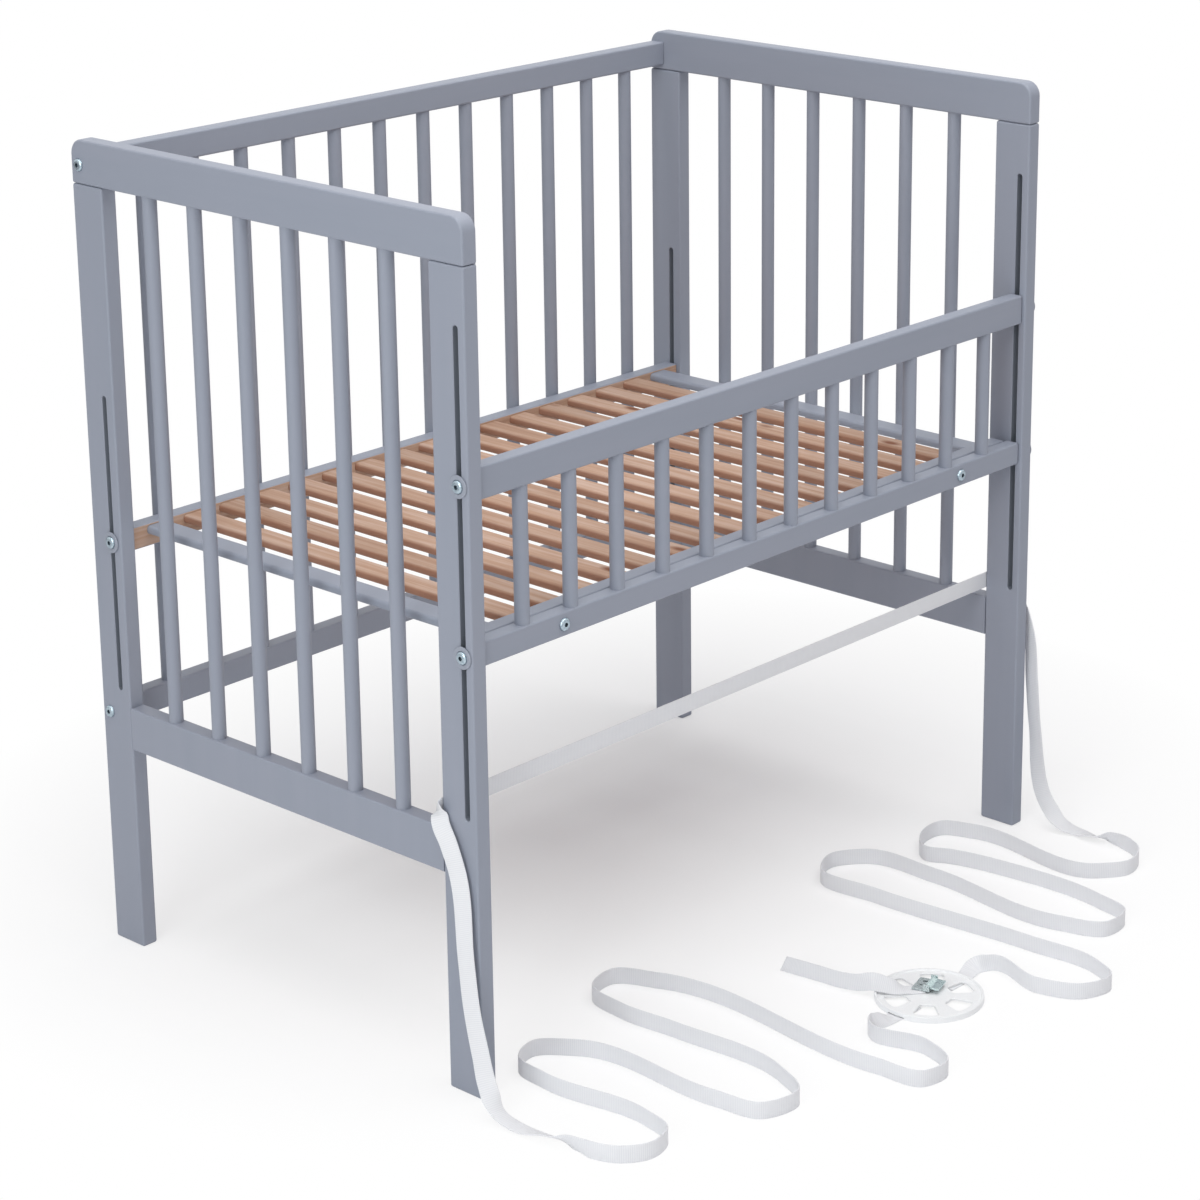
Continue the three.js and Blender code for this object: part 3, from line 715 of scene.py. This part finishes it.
def add_dowel(mesh, x, y, bottom, top):
    """A turned dowel standing upright between two heights in metres."""
    bmesh.ops.create_cone(
        mesh,
        cap_ends=True,
        segments=32,
        radius1=dowel_radius,
        radius2=dowel_radius,
        depth=top - bottom,
        matrix=Matrix.Translation((x, y, (bottom + top) / 2)),
    )


def make_bars(node, body, rail_top, axis, count, pitch, sawn=None):
    """A rail with a row of dowels in it, spread along the rail's axis: 0 for x, 1 for y."""
    low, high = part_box(node)
    mesh = eased_box(low, Vector((high.x, high.y, rail_top)), sawn=sawn)
    for k in range(count):
        spot = (low + high) / 2
        spot[axis] = (k - (count - 1) / 2) * pitch
        add_dowel(mesh, spot.x, spot.y, rail_top - dowel_grip, high.z - dowel_grip)
    bars = object_from(node + "_turned", mesh)
    soften(bars)
    grain = "x" if axis == 0 else "z"
    place(bars, [paint[grain]], body, node)


print("dowel diameter in millimetres:", round(dowel_radius * 2000))

# %% [markdown]
# ## End panels
# Each end has two posts, a top rail whose upper corners are rounded to 17 mm, and a bottom rail with six
# dowels. The height slots are milled right through the posts with a 7 mm cutter, so their ends are half
# round. A slightly wider mouth on both faces stands for the broken edge that sanding leaves. The slot walls
# get a dull paint with a darker colour, which is painted shade for the dark inside of a slot.

# %% Height slots
end_thickness = 20
slot_radius, mouth_radius, mouth_depth = 3.5, 4.3, 0.8
cutter_past = 2
wall_reach = 4
slot_rows = {"front": (13, 310, 829), "back": (567, 311, 655)}
# Painted shade: the slot walls' darker paint stands in for the shade inside the slot.
slot_shade_paint, _, _ = new_finish(
    "wood_milled_and_thinly_sprayed",
    {"Base Color": colour("7E848E"), "Roughness": 0.7, "Specular IOR Level": 0.2},
)


def join_rings(mesh, rings):
    """Faces between neighbouring rings of corners, and one face over each end."""
    for first, second in zip(rings, rings[1:]):
        for k in range(len(first)):
            after = (k + 1) % len(first)
            mesh.faces.new((first[k], first[after], second[after], second[k]))
    mesh.faces.new(rings[0])
    mesh.faces.new(rings[-1])


def slot_cutter(x_middle, y, bottom, top):
    """A stadium-shaped slot through a post along x, a little wider at both mouths."""
    mesh = bmesh.new()
    half = end_thickness / 2
    widening = [(half - mouth_depth, slot_radius), (half, mouth_radius), (half + cutter_past, mouth_radius)]
    stations = [(-offset, radius) for offset, radius in widening[::-1]] + widening
    rings = []
    for offset, radius in stations:
        outline = arc((y, top - slot_radius), radius, 0, math.pi, 11)
        outline += arc((y, bottom + slot_radius), radius, math.pi, 2 * math.pi, 11)
        rings.append([mesh.verts.new(mm(x_middle + offset, *point) + crib_corner) for point in outline])
    join_rings(mesh, rings)
    return mesh


print("height slots in millimetres:", {end: row[2] - row[1] for end, row in slot_rows.items()})

# %% Posts


def make_post(side, end):
    node = side + "_" + end + "_post"
    post = object_from(node + "_milled", eased_box(*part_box(node)))
    y, bottom, top = slot_rows[end]
    x_middle = end_thickness / 2 if side == "left" else crib_length - end_thickness / 2
    cut_away(post, slot_cutter(x_middle, y, bottom, top))
    soften(post)
    place(post, [paint["z"], slot_shade_paint], "frame", node)
    slot_y = mm(y) + crib_corner.y
    # The slot walls' faces take the darker paint, painted shade.
    for face in post.data.polygons:
        if abs(face.normal.x) < 0.5 and abs(face.center.y - slot_y) < mm(wall_reach):
            face.material_index = 1


for side in ("left", "right"):
    for end in slot_rows:
        make_post(side, end)
print("posts: 4 pieces")

# %% End rails and their dowels
corner_radius = mm(17)
end_rail_top = mm(293)
end_dowel_pitch = mm(73)


def make_end_top_rail(side):
    node = side + "_end_top_rail"
    low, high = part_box(node)
    centre_z = high.z - corner_radius
    outline = [(low.y, low.z), (high.y, low.z)]
    outline += arc((high.y - corner_radius, centre_z), corner_radius, 0, math.pi / 2, 12)
    outline += arc((low.y + corner_radius, centre_z), corner_radius, math.pi / 2, math.pi, 12)
    mesh = bmesh.new()
    face = mesh.faces.new([mesh.verts.new((low.x, y, z)) for y, z in outline])
    grown = bmesh.ops.extrude_face_region(mesh, geom=[face])
    moved = [item for item in grown["geom"] if isinstance(item, bmesh.types.BMVert)]
    bmesh.ops.translate(mesh, verts=moved, vec=(high.x - low.x, 0, 0))
    bmesh.ops.recalc_face_normals(mesh, faces=mesh.faces)
    round_edges(mesh, [edge for edge in mesh.edges if edge.calc_face_angle() > 1.0], edge_radius, 3)
    rail = object_from(node + "_shaped", mesh)
    soften(rail)
    place(rail, [paint["y"]], "frame", node)


for side in ("left", "right"):
    make_end_top_rail(side)
    make_bars(side + "_end_bars", "frame", end_rail_top, 1, 6, end_dowel_pitch, sawn=1)
print("end rails: 4 pieces")

# %% [markdown]
# ## Back side, base and guard
# The other rails are plain boards along x. The dowels of the back and of the guard stand in rows of twelve.

# %% Rails along the crib
dowel_pitch = mm(71)
back_rail_height, guard_rail_height = 30, 27


def make_rail(node, body, sawn=None):
    rail = object_from(node + "_planed", eased_box(*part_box(node), sawn=sawn))
    soften(rail)
    place(rail, [paint["x"]], body, node)


make_rail("back_top_rail", "frame", sawn=0)
make_rail("guard_top_rail", "base")
back_rail_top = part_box("back_bars")[0].z + mm(back_rail_height)
guard_rail_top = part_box("guard_bars")[0].z + mm(guard_rail_height)
make_bars("back_bars", "frame", back_rail_top, 0, 12, dowel_pitch, sawn=0)
make_bars("guard_bars", "base", guard_rail_top, 0, 12, dowel_pitch)
print("rails: 4 pieces")

# %% [markdown]
# The slats and the two outer bars are planed with four round edges, and each stands in a mortise of both
# base rails. The mortise is cut with the same rounded form, 0.3 mm larger all round, as a joiner leaves it
# for the glue. The base rails are painted outside and left natural inside, where the slats go in, so that
# one face of each gets a second material.

# %% Slats and bars
bar_radius = 4
mortise_play = 0.3
slat_names = ["slat_%02d" % number for number in range(1, 16)]
cross_names = ["base_left_bar"] + slat_names + ["base_right_bar"]


def rounded_bar(low, high, radius, steps=6):
    """A bar along y with its four long edges rounded."""
    mesh = bmesh.new()
    inner_x, outer_x = low.x + radius, high.x - radius
    lower_z, upper_z = low.z + radius, high.z - radius
    centres = ((outer_x, upper_z), (inner_x, upper_z), (inner_x, lower_z), (outer_x, lower_z))
    outline = []
    for turn, centre in enumerate(centres):
        outline += arc(centre, radius, turn * math.pi / 2, (turn + 1) * math.pi / 2, steps)
    join_rings(mesh, [[mesh.verts.new((x, y, z)) for x, z in outline] for y in (low.y, high.y)])
    return mesh


def merge_into(mesh, part):
    """Move a part's faces into a mesh, with their outsides out."""
    bmesh.ops.recalc_face_normals(part, faces=part.faces)
    copy = bpy.data.meshes.new("part")
    part.to_mesh(copy)
    part.free()
    mesh.from_mesh(copy)
    bpy.data.meshes.remove(copy)


print("cross pieces:", len(cross_names))

# %% Base rails with their mortises


def make_base_rail(node, inner_sign):
    rail = object_from(node + "_mortised", eased_box(*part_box(node)))
    mortises = bmesh.new()
    play = mm(mortise_play, mortise_play, mortise_play)
    for name in cross_names:
        low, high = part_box(name)
        merge_into(mortises, rounded_bar(low - play, high + play, mm(bar_radius + mortise_play)))
    cut_away(rail, mortises)
    soften(rail)
    place(rail, [paint["x"], rail_wood], "base", node)
    for face in rail.data.polygons:
        if face.normal.y * inner_sign > 0.9:
            face.material_index = 1


make_base_rail("base_front_rail", 1)
make_base_rail("base_back_rail", -1)
for name in cross_names:
    natural = name.startswith("slat")
    bar = object_from(name + "_planed", rounded_bar(*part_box(name), mm(bar_radius)))
    soften(bar)
    finish = slat_wood if natural else paint["y"]
    place(bar, [finish], "base", name)
print("base: 2 rails and", len(cross_names), "cross pieces")

# %% [markdown]
# ## Bolts and washers
# The bolts have low domed heads with a hexagon socket, forged from steel and zinc plated, with a clear blue
# passivation that gives the bluish shine. Zinc plate is metal, so its colour is in the reflection and its
# roughness varies a little, in patches of about 2 mm. A socket's inside gets a darker zinc colour, painted
# shade for its depth. The washers under the heads are moulded polyamide in the paint's grey, and the disc
# is moulded
# polypropylene. A mould leaves a fine grit on plastic, drawn about 1 mm coarse so that it shows.

# %% Finishes: zinc plate and moulded plastics
zinc_patch, mould_grit = 2, 1.111


def make_zinc(name, dark, light):
    finish, tree, shader = new_finish(name, {"Metallic": 1.0})
    spot = add(tree, "TexCoord")
    patches = {"Scale": scale_for(zinc_patch), "Detail": 3}
    cloud = add(tree, "TexNoise", patches, {"Vector": spot.outputs["Object"]})
    stops = [(0.3, colour(dark)), (0.7, colour(light))]
    ramp = add(tree, "ValToRGB", {"stops": stops}, {"Fac": cloud.outputs["Fac"]})
    rough = add(tree, "MapRange", {3: 0.2, 4: 0.38}, {0: cloud.outputs["Fac"]})
    tree.links.new(ramp.outputs["Color"], shader.inputs["Base Color"])
    tree.links.new(rough.outputs[0], shader.inputs["Roughness"])
    return finish


def make_moulded(name, dark, light, settings):
    finish, tree, shader = new_finish(name, settings)
    spot = add(tree, "TexCoord")
    grains = {"Scale": scale_for(mould_grit), "Detail": 2}
    grit = add(tree, "TexNoise", grains, {"Vector": spot.outputs["Object"]})
    stops = [(0.3, colour(dark)), (0.7, colour(light))]
    ramp = add(tree, "ValToRGB", {"stops": stops}, {"Fac": grit.outputs["Fac"]})
    bump = add(tree, "Bump", {"Strength": 0.15, "Distance": 0.0002}, {"Height": grit.outputs["Fac"]})
    wire(tree, shader, ramp.outputs["Color"], bump)
    return finish


zinc = make_zinc("steel_zinc_plated_and_passivated", "9CAEB9", "C2D1D9")
# Painted shade: the darker zinc colour of the sockets stands in for the shade in them.
socket_shade_zinc = make_zinc("steel_broached_and_thinly_plated", "555F67", "7C878F")
plate_zinc = make_zinc("steel_pressed_and_zinc_plated", "A6B2B3", "CCD5D6")
lever_zinc = make_zinc("steel_bent_and_zinc_plated", "B2C8C9", "D6E5E5")
polyamide = make_moulded("polyamide_moulded_grey", "9095A1", "9AA0AC", {"Roughness": 0.5})
polypropylene = make_moulded("polypropylene_moulded_white", "ECEEEF", "F3F4F5", {"Roughness": 0.35})
print("finishes:", zinc.name, polyamide.name, polypropylene.name)

# %% Turning a profile
turned_sides = 32


def turned(profile, steps=turned_sides):
    """A body turned about its own x axis from (distance along x, radius) pairs in millimetres."""
    mesh = bmesh.new()
    closed = profile[0] == profile[-1]
    rings = []
    for x, radius in profile[:-1] if closed else profile:
        if radius == 0:
            rings.append([mesh.verts.new(mm(x, 0, 0))])
            continue
        angles = [2 * math.pi * k / steps for k in range(steps)]
        rings.append([mesh.verts.new(mm(x, radius * math.cos(a), radius * math.sin(a))) for a in angles])
    following = rings[1:] + (rings[:1] if closed else [])
    for first, second in zip(rings, following):
        for k in range(steps):
            after = (k + 1) % steps
            corners = [first[k % len(first)], first[after % len(first)]]
            corners += [second[after % len(second)], second[k % len(second)]]
            unique = list(dict.fromkeys(corners))
            if len(unique) > 2:
                mesh.faces.new(unique)
    return mesh


print("a turned piece has", turned_sides, "sides, unless it says otherwise")

# %% [markdown]
# A bolt is turned about its own x axis with its seat at zero: the shank reaches back into the wood, and the
# head stands 3 mm proud, with a small flat face in the middle. The hexagon socket is 4.5 mm across its
# flats. On the posts, the head lies in the recess of its washer.

# %% Bolts
shank_radius, shank_chamfer = 3, 0.4
head_radius, rim_low, rim_high, rim_ease = 7.1, 0.3, 0.5, 0.2
dome_start, dome_rise = 1.0, 2.0
flat_radius, dome_width = 4.2, 2.7
head_height, packed_head_height = dome_start + dome_rise, 3.7
socket_radius, socket_floor, socket_cut = 2.6, 0.7, 6
facing_turn = {"left": math.pi, "right": 0.0, "front": -math.pi / 2}


def bolt_profile(grip):
    tip = [(-grip, 0), (-grip, shank_radius - shank_chamfer), (-grip + shank_chamfer, shank_radius)]
    rim = [(rim_low, shank_radius), (rim_low, head_radius - rim_ease), (rim_high, head_radius)]
    dome = []
    for k in range(9):
        angle = k / 8 * math.pi / 2
        dome.append((dome_start + dome_rise * math.sin(angle), flat_radius + dome_width * math.cos(angle)))
    return [*tip, *rim, *dome, (head_height, 0)]


def socket_cutter():
    """A hexagonal prism about the x axis, from the socket's floor to well past the head."""
    mesh = bmesh.new()
    middle = Matrix.Translation(mm(socket_floor + socket_cut / 2, 0, 0))
    bmesh.ops.create_cone(
        mesh,
        cap_ends=True,
        segments=6,
        radius1=mm(socket_radius),
        radius2=mm(socket_radius),
        depth=mm(socket_cut),
        matrix=middle @ Matrix.Rotation(math.pi / 2, 4, "Y"),
    )
    return mesh


def seated(seat, facing):
    """The place of a fastener on the crib: a seat in millimetres, and the side that its head looks to."""
    return Matrix.Translation(mm(*seat) + crib_corner) @ Matrix.Rotation(facing_turn[facing], 4, "Z")


def make_bolt(node, body, seat, facing):
    low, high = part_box(node)
    span = high.y - low.y if facing == "front" else high.x - low.x
    bolt = object_from(node + "_forged", turned(bolt_profile(span * 1000 - packed_head_height)))
    cut_away(bolt, socket_cutter())
    in_socket = [
        face.index
        for face in bolt.data.polygons
        if mm(rim_high) < face.center.x < mm(head_height - 0.1)
        and face.center.yz.length < mm(socket_radius + 0.1)
    ]
    bolt.data.transform(seated(seat, facing))
    soften(bolt)
    place(bolt, [zinc, socket_shade_zinc], body, node)
    # The socket's faces take the darker zinc, painted shade.
    for index in in_socket:
        bolt.data.polygons[index].material_index = 1


print("bolt heads in millimetres:", head_radius * 2, "across,", head_height, "high")

# %% [markdown]
# The washers are 24 mm wide, with a recess that takes the bolt's head. They lie on the posts' outer faces,
# over the slots. The crib's other bolts, at the back and in the guard, go in without a washer.

# %% Washers, and every fastener in its place
washer_sides = 40
washer_lift, recess_lift = 0.3, 1.2
washer_outside = [(0, 3.4), (0, 11.6), (0.4, 12), (1.3, 12), (1.8, 11.4)]
washer_recess = [(1.8, 7.8), (1.6, 7.5), (0.9, 7.3), (0.9, 3.6), (0, 3.4)]
base_bolts = (("front_upper", 13, 665.5), ("front_lower", 13, 486.5), ("back", 567, 486.5))
back_bolts = (("back_top_", 587, 910), ("back_lower_", 587, 281))
guard_bolts = (("left", 136.5, 4, 486.5), ("right", 813.5, 4, 486.5))


def make_washer(node, seat, facing):
    washer = object_from(node + "_moulded", turned(washer_outside + washer_recess, washer_sides))
    washer.data.transform(seated(seat, facing))
    soften(washer)
    place(washer, [polyamide], "base", node)


for side, x, out in (("left", 0, -1), ("right", crib_length, 1)):
    for spot_name, y, z in base_bolts:
        make_bolt(side + "_" + spot_name + "_bolt", "base", (x + out * recess_lift, y, z), side)
        make_washer(side + "_" + spot_name + "_washer", (x + out * washer_lift, y, z), side)
    for start, y, z in back_bolts:
        make_bolt(start + side + "_bolt", "frame", (x, y, z), side)
for side, *seat in guard_bolts:
    make_bolt("guard_" + side + "_bolt", "base", seat, "front")
print("bolts: 12, washers: 6")

# %% [markdown]
# ## Tension disc and buckle
# The disc is moulded polypropylene: a rim with a rounded crest, a thin web and six windows with rounded
# corners and a broken upper edge. The strap comes in under the rim through two gates. A pressed plate with
# two slots lies on the web, and between its cheeks a bent lever turns on a pin.

# %% The disc's profile and windows
disc_low, disc_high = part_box("tension_disc")
disc_centre = (disc_low + disc_high) / 2
window_inner, window_outer, window_corner = 26, 51, 4
window_count, window_share = 6, 0.56
window_half_angle = window_share * math.pi / window_count
disc_profile = [
    (2.5, 0),
    (2.5, 58),
    (0.3, 58),
    (0, 58.3),
    (0, 60.7),
    (0.3, 61),
    (5.4, 61),
    (6.3, 60.8),
    (6.85, 60.3),
    (7, 59.5),
    (6.85, 58.7),
    (6.3, 58.2),
    (5.6, 57.9),
    (5.15, 57.4),
    (5, 56.6),
    (5, 0),
]


def window_outline(grow):
    """One window across the x axis: a piece of a ring with rounded corners, wider all round by grow."""
    middle = (0, 0)
    rounding = window_corner + grow
    square = window_half_angle + math.pi / 2
    corners = []
    for radius in (window_outer - window_corner, window_inner + window_corner):
        turn = window_half_angle - math.asin(window_corner / radius)
        corners.append((turn, radius * math.cos(turn), radius * math.sin(turn)))
    (outer_turn, outer_x, outer_y), (inner_turn, inner_x, inner_y) = corners
    return (
        arc((outer_x, outer_y), rounding, outer_turn, square, 5)
        + arc((inner_x, inner_y), rounding, square, inner_turn + math.pi, 5)
        + arc(middle, window_inner - grow, inner_turn, -inner_turn, 8)[1:-1]
        + arc((inner_x, -inner_y), rounding, -inner_turn - math.pi, -square, 5)
        + arc((outer_x, -outer_y), rounding, -square, -outer_turn, 5)
        + arc(middle, window_outer + grow, -outer_turn, outer_turn, 12)[1:-1]
    )


print("corners of one window's outline:", len(window_outline(0)))

# %% The disc
disc_sides, disc_smooth_angle = 96, 28
first_window_turn = 33
window_cut = ((1, 0), (4.4, 0), (5, 0.6), (9, 0.6))
gate_spot, gate_size = 61, (24, 21.2, 5.6)


def window_cutter():
    """The windows, which widen near the top, and the two gates under the rim."""
    mesh = bmesh.new()
    for number in range(window_count):
        spin = Matrix.Rotation(math.radians(first_window_turn + 360 / window_count * number), 2)
        rings = []
        for z, grow in window_cut:
            ring = [spin @ point for point in window_outline(grow)]
            rings.append([mesh.verts.new(mm(point.x, point.y, z)) for point in ring])
        join_rings(mesh, rings)
    for side in (-1, 1):
        gate = Matrix.Translation(mm(side * gate_spot, 0, 0)) @ Matrix.Diagonal((*mm(*gate_size), 1))
        bmesh.ops.create_cube(mesh, size=1, matrix=gate)
    return mesh


disc_mesh = turned(disc_profile, disc_sides)
lay_flat = Matrix.Rotation(-math.pi / 2, 3, "Y")
bmesh.ops.rotate(disc_mesh, verts=disc_mesh.verts[:], matrix=lay_flat)
disc = object_from("tension_disc_moulded", disc_mesh)
cut_away(disc, window_cutter(), "MANIFOLD")
disc.data.transform(Matrix.Translation((disc_centre.x, disc_centre.y, 0)))
soften(disc, disc_smooth_angle)
place(disc, [polypropylene], "frame", "tension_disc")
print("disc: 1 piece with", window_count, "windows")

# %% [markdown]
# The buckle's plate is pressed from 2 mm steel, with two slots for the strap and a cheek bent up at each
# side. The pin goes through both cheeks. The buckle is drawn flat about its own middle, and then turned and
# put down on the disc.

# %% The buckle's plate and pin
buckle_offset, buckle_turn = mm(10, 14, 0), math.radians(17)
plate_half_width, plate_half_depth, plate_thickness = 14.5, 10.5, 2
cheek_x, cheek_top = 13.5, 8
slot_middles, slot_half_width, slot_ends = (6, -3.9), 1.5, (-5.5, 4.5)
plate_ease, slot_ease, cheek_ease = 0.5, 0.4, 0.6
pin_y, pin_rise, pin_end = -6.5, 5, 14.9
buckle_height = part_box("buckle_frame")[0].z
buckle_spot = Vector((*(disc_centre + buckle_offset).xy, buckle_height))
buckle_place = Matrix.Translation(buckle_spot) @ Matrix.Rotation(buckle_turn, 4, "Z")
pin_place = buckle_place @ Matrix.Translation(mm(0, pin_y, pin_rise))


def boxes_joined(boxes, ease):
    """Rounded boxes given by two corners each, in millimetres of the buckle's own frame, in one mesh."""
    mesh = bmesh.new()
    for low, high in boxes:
        merge_into(mesh, eased_box(mm(*low), mm(*high), ease, 2))
    return mesh


flat = ((-plate_half_width, -plate_half_depth, 0), (plate_half_width, plate_half_depth, plate_thickness))
plate = object_from("buckle_plate_pressed", boxes_joined([flat], plate_ease))
slot_low, slot_high = slot_ends
slots = [((x - slot_half_width, slot_low, -1), (x + slot_half_width, slot_high, 4)) for x in slot_middles]
cut_away(plate, boxes_joined(slots, slot_ease))
cheek_boxes = [((x - 1, -plate_half_depth, 1), (x + 1, -2.5, cheek_top)) for x in (-cheek_x, cheek_x)]
cheeks = boxes_joined(cheek_boxes, cheek_ease)
cheeks.from_mesh(plate.data)
cheeks.to_mesh(plate.data)
cheeks.free()
plate.data.transform(buckle_place)
soften(plate)
place(plate, [plate_zinc], "frame", "buckle_frame")

half_pin = [(pin_end - 0.2, 1), (pin_end, 0.8), (pin_end, 0)]
pin_profile = [(-x, radius) for x, radius in half_pin[::-1]] + half_pin
pin = object_from("buckle_pin_drawn", turned(pin_profile))
pin.data.transform(pin_place)
soften(pin)
place(pin, [plate_zinc], "frame", "buckle_pin")
print("buckle: plate and pin")

# %% [markdown]
# The lever is a thin bent plate with a boss that turns on the pin. At rest it slopes down from the pin to
# lie close over the plate, and its free end flattens out, so that a finger can get under it.

# %% The lever
lever_half_width = 12
lever_reach, lever_slope, lever_flare = 14, 2.2, 0.8
lever_half_thickness = 0.8
boss_radius, boss_mouth = 2.7, math.radians(20)


def lever_outline():
    """The lever's side, as (distance from the pin, height) pairs: the boss, and then the plate."""
    upper, lower = [], []
    for k in range(11):
        share = k / 10
        reach = lever_reach * share
        lift = -lever_slope * share + lever_flare * share**4
        upper.append((reach, lift + lever_half_thickness))
        lower.append((reach, lift - lever_half_thickness))
    boss = arc((0, 0), boss_radius, boss_mouth, 2 * math.pi - boss_mouth, 12)
    return boss + lower[3:] + upper[:2:-1]


lever_mesh = bmesh.new()
lever_sides = [
    [lever_mesh.verts.new(mm(x, -reach, rise)) for reach, rise in lever_outline()]
    for x in (-lever_half_width, lever_half_width)
]
join_rings(lever_mesh, lever_sides)
lever = object_from("buckle_lever_bent", lever_mesh)
lever.data.transform(pin_place)
soften(lever)
place(lever, [lever_zinc], "buckle_lever", "buckle_lever")
print("lever: 1 piece")

# %% [markdown]
# ## The strap's length
# A free strap has a real length. The photograph shows the strap from end to end, so its length is the one
# that was measured there. The span behind the posts is pulled taut. Both sides end at the disc, and the
# tail starts at the buckle and ends bare.

print("strap stretches: 4")

# %% [markdown]
# ## Studio
# The crib stands on matt white paper that fades into a white background. To the camera, the paper turns
# into pure white with the distance from the crib, and near it the paper keeps its soft shadow.

# %% Floor
floor_half_size = 12
fade_centre = (0.15, 0.1, 0)
fade_core = (0.1, 0, 0)
fade_length = 0.8


def make_floor():
    finish, tree, shader = new_finish(
        "backdrop_paper_matt", {"Roughness": 0.9, "Base Color": colour("FAFAFB")}
    )
    spot = add(tree, "TexCoord")
    offset = add(tree, "VectorMath", {"operation": "SUBTRACT", 1: fade_centre}, {0: spot.outputs["Object"]})
    aside = add(tree, "VectorMath", {"operation": "ABSOLUTE"}, {0: offset.outputs["Vector"]})
    past = add(tree, "VectorMath", {"operation": "SUBTRACT", 1: fade_core}, {0: aside.outputs["Vector"]})
    outside = add(tree, "VectorMath", {"operation": "MAXIMUM", 1: (0, 0, 0)}, {0: past.outputs["Vector"]})
    distance = add(tree, "VectorMath", {"operation": "LENGTH"}, {0: outside.outputs["Vector"]})
    faded = add(tree, "MapRange", {1: 0, 2: fade_length}, {0: distance.outputs["Value"]})
    light_path = add(tree, "LightPath")
    share = maths(tree, "MULTIPLY", faded.outputs[0], light_path.outputs["Is Camera Ray"])
    white = add(tree, "Emission", {"Color": (1, 1, 1, 1), "Strength": 1.0})
    mixed = add(
        tree,
        "MixShader",
        links={0: share, 1: shader.outputs["BSDF"], 2: white.outputs["Emission"]},
    )
    output = next(item for item in tree.nodes if item.type == "OUTPUT_MATERIAL")
    tree.links.new(mixed.outputs[0], output.inputs["Surface"])
    mesh = bmesh.new()
    bmesh.ops.create_grid(mesh, x_segments=1, y_segments=1, size=floor_half_size)
    floor = object_from("studio_floor", mesh)
    floor.data.materials.append(finish)


make_floor()
print("floor: fades over", fade_length, "m")

# %% [markdown]
# The photograph has pale light from all round, one very large soft light above, and a smaller, cooler one
# from the left that brightens the left end. To the camera, in reflections and through clear things, the
# world is pure white. All other rays see a weaker world, slightly pinkish as the photograph's shadows are.

# %% World and lights


def make_world():
    world = bpy.data.worlds.new("studio_world")
    bpy.context.scene.world = world
    world.use_nodes = True
    tree = world.node_tree
    tree.nodes.clear()
    ray = add(tree, "LightPath").outputs
    seen = maths(tree, "MAXIMUM", ray["Is Camera Ray"], ray["Is Glossy Ray"])
    seen = maths(tree, "MAXIMUM", seen, ray["Is Transmission Ray"])
    fill = add(tree, "Background", {"Color": (1.0, 0.965, 0.995, 1), "Strength": 0.27})
    white = add(tree, "Background", {"Color": (1, 1, 1, 1), "Strength": 1.0})
    mixed = add(
        tree,
        "MixShader",
        links={0: seen, 1: fill.outputs["Background"], 2: white.outputs["Background"]},
    )
    add(tree, "OutputWorld", links={"Surface": mixed.outputs[0]})


def make_softbox(name, spot, target, size, watts, tint=(1.0, 1.0, 1.0)):
    """A square lamp at a spot, turned to a target, with its size in metres."""
    data = bpy.data.lights.new(name, "AREA")
    data.shape = "SQUARE"
    data.size = size
    data.energy = watts
    data.color = tint
    lamp = bpy.data.objects.new(name, data)
    bpy.context.scene.collection.objects.link(lamp)
    lamp.location = spot
    lamp.rotation_euler = (Vector(target) - Vector(spot)).to_track_quat("-Z", "Y").to_euler()
    return lamp


make_world()
cool = (0.96, 1.0, 1.0)
key_light = make_softbox("key_softbox", (-3.0, -0.9, 1.6), (0, 0, 0.4), 1.6, 37, cool)
top_light = make_softbox("top_softbox", (0, -0.8, 3.0), (0, -0.6, 0), 3.6, 84)
bpy.context.scene.view_settings.view_transform = "Standard"
print("lights:", key_light.name, top_light.name)
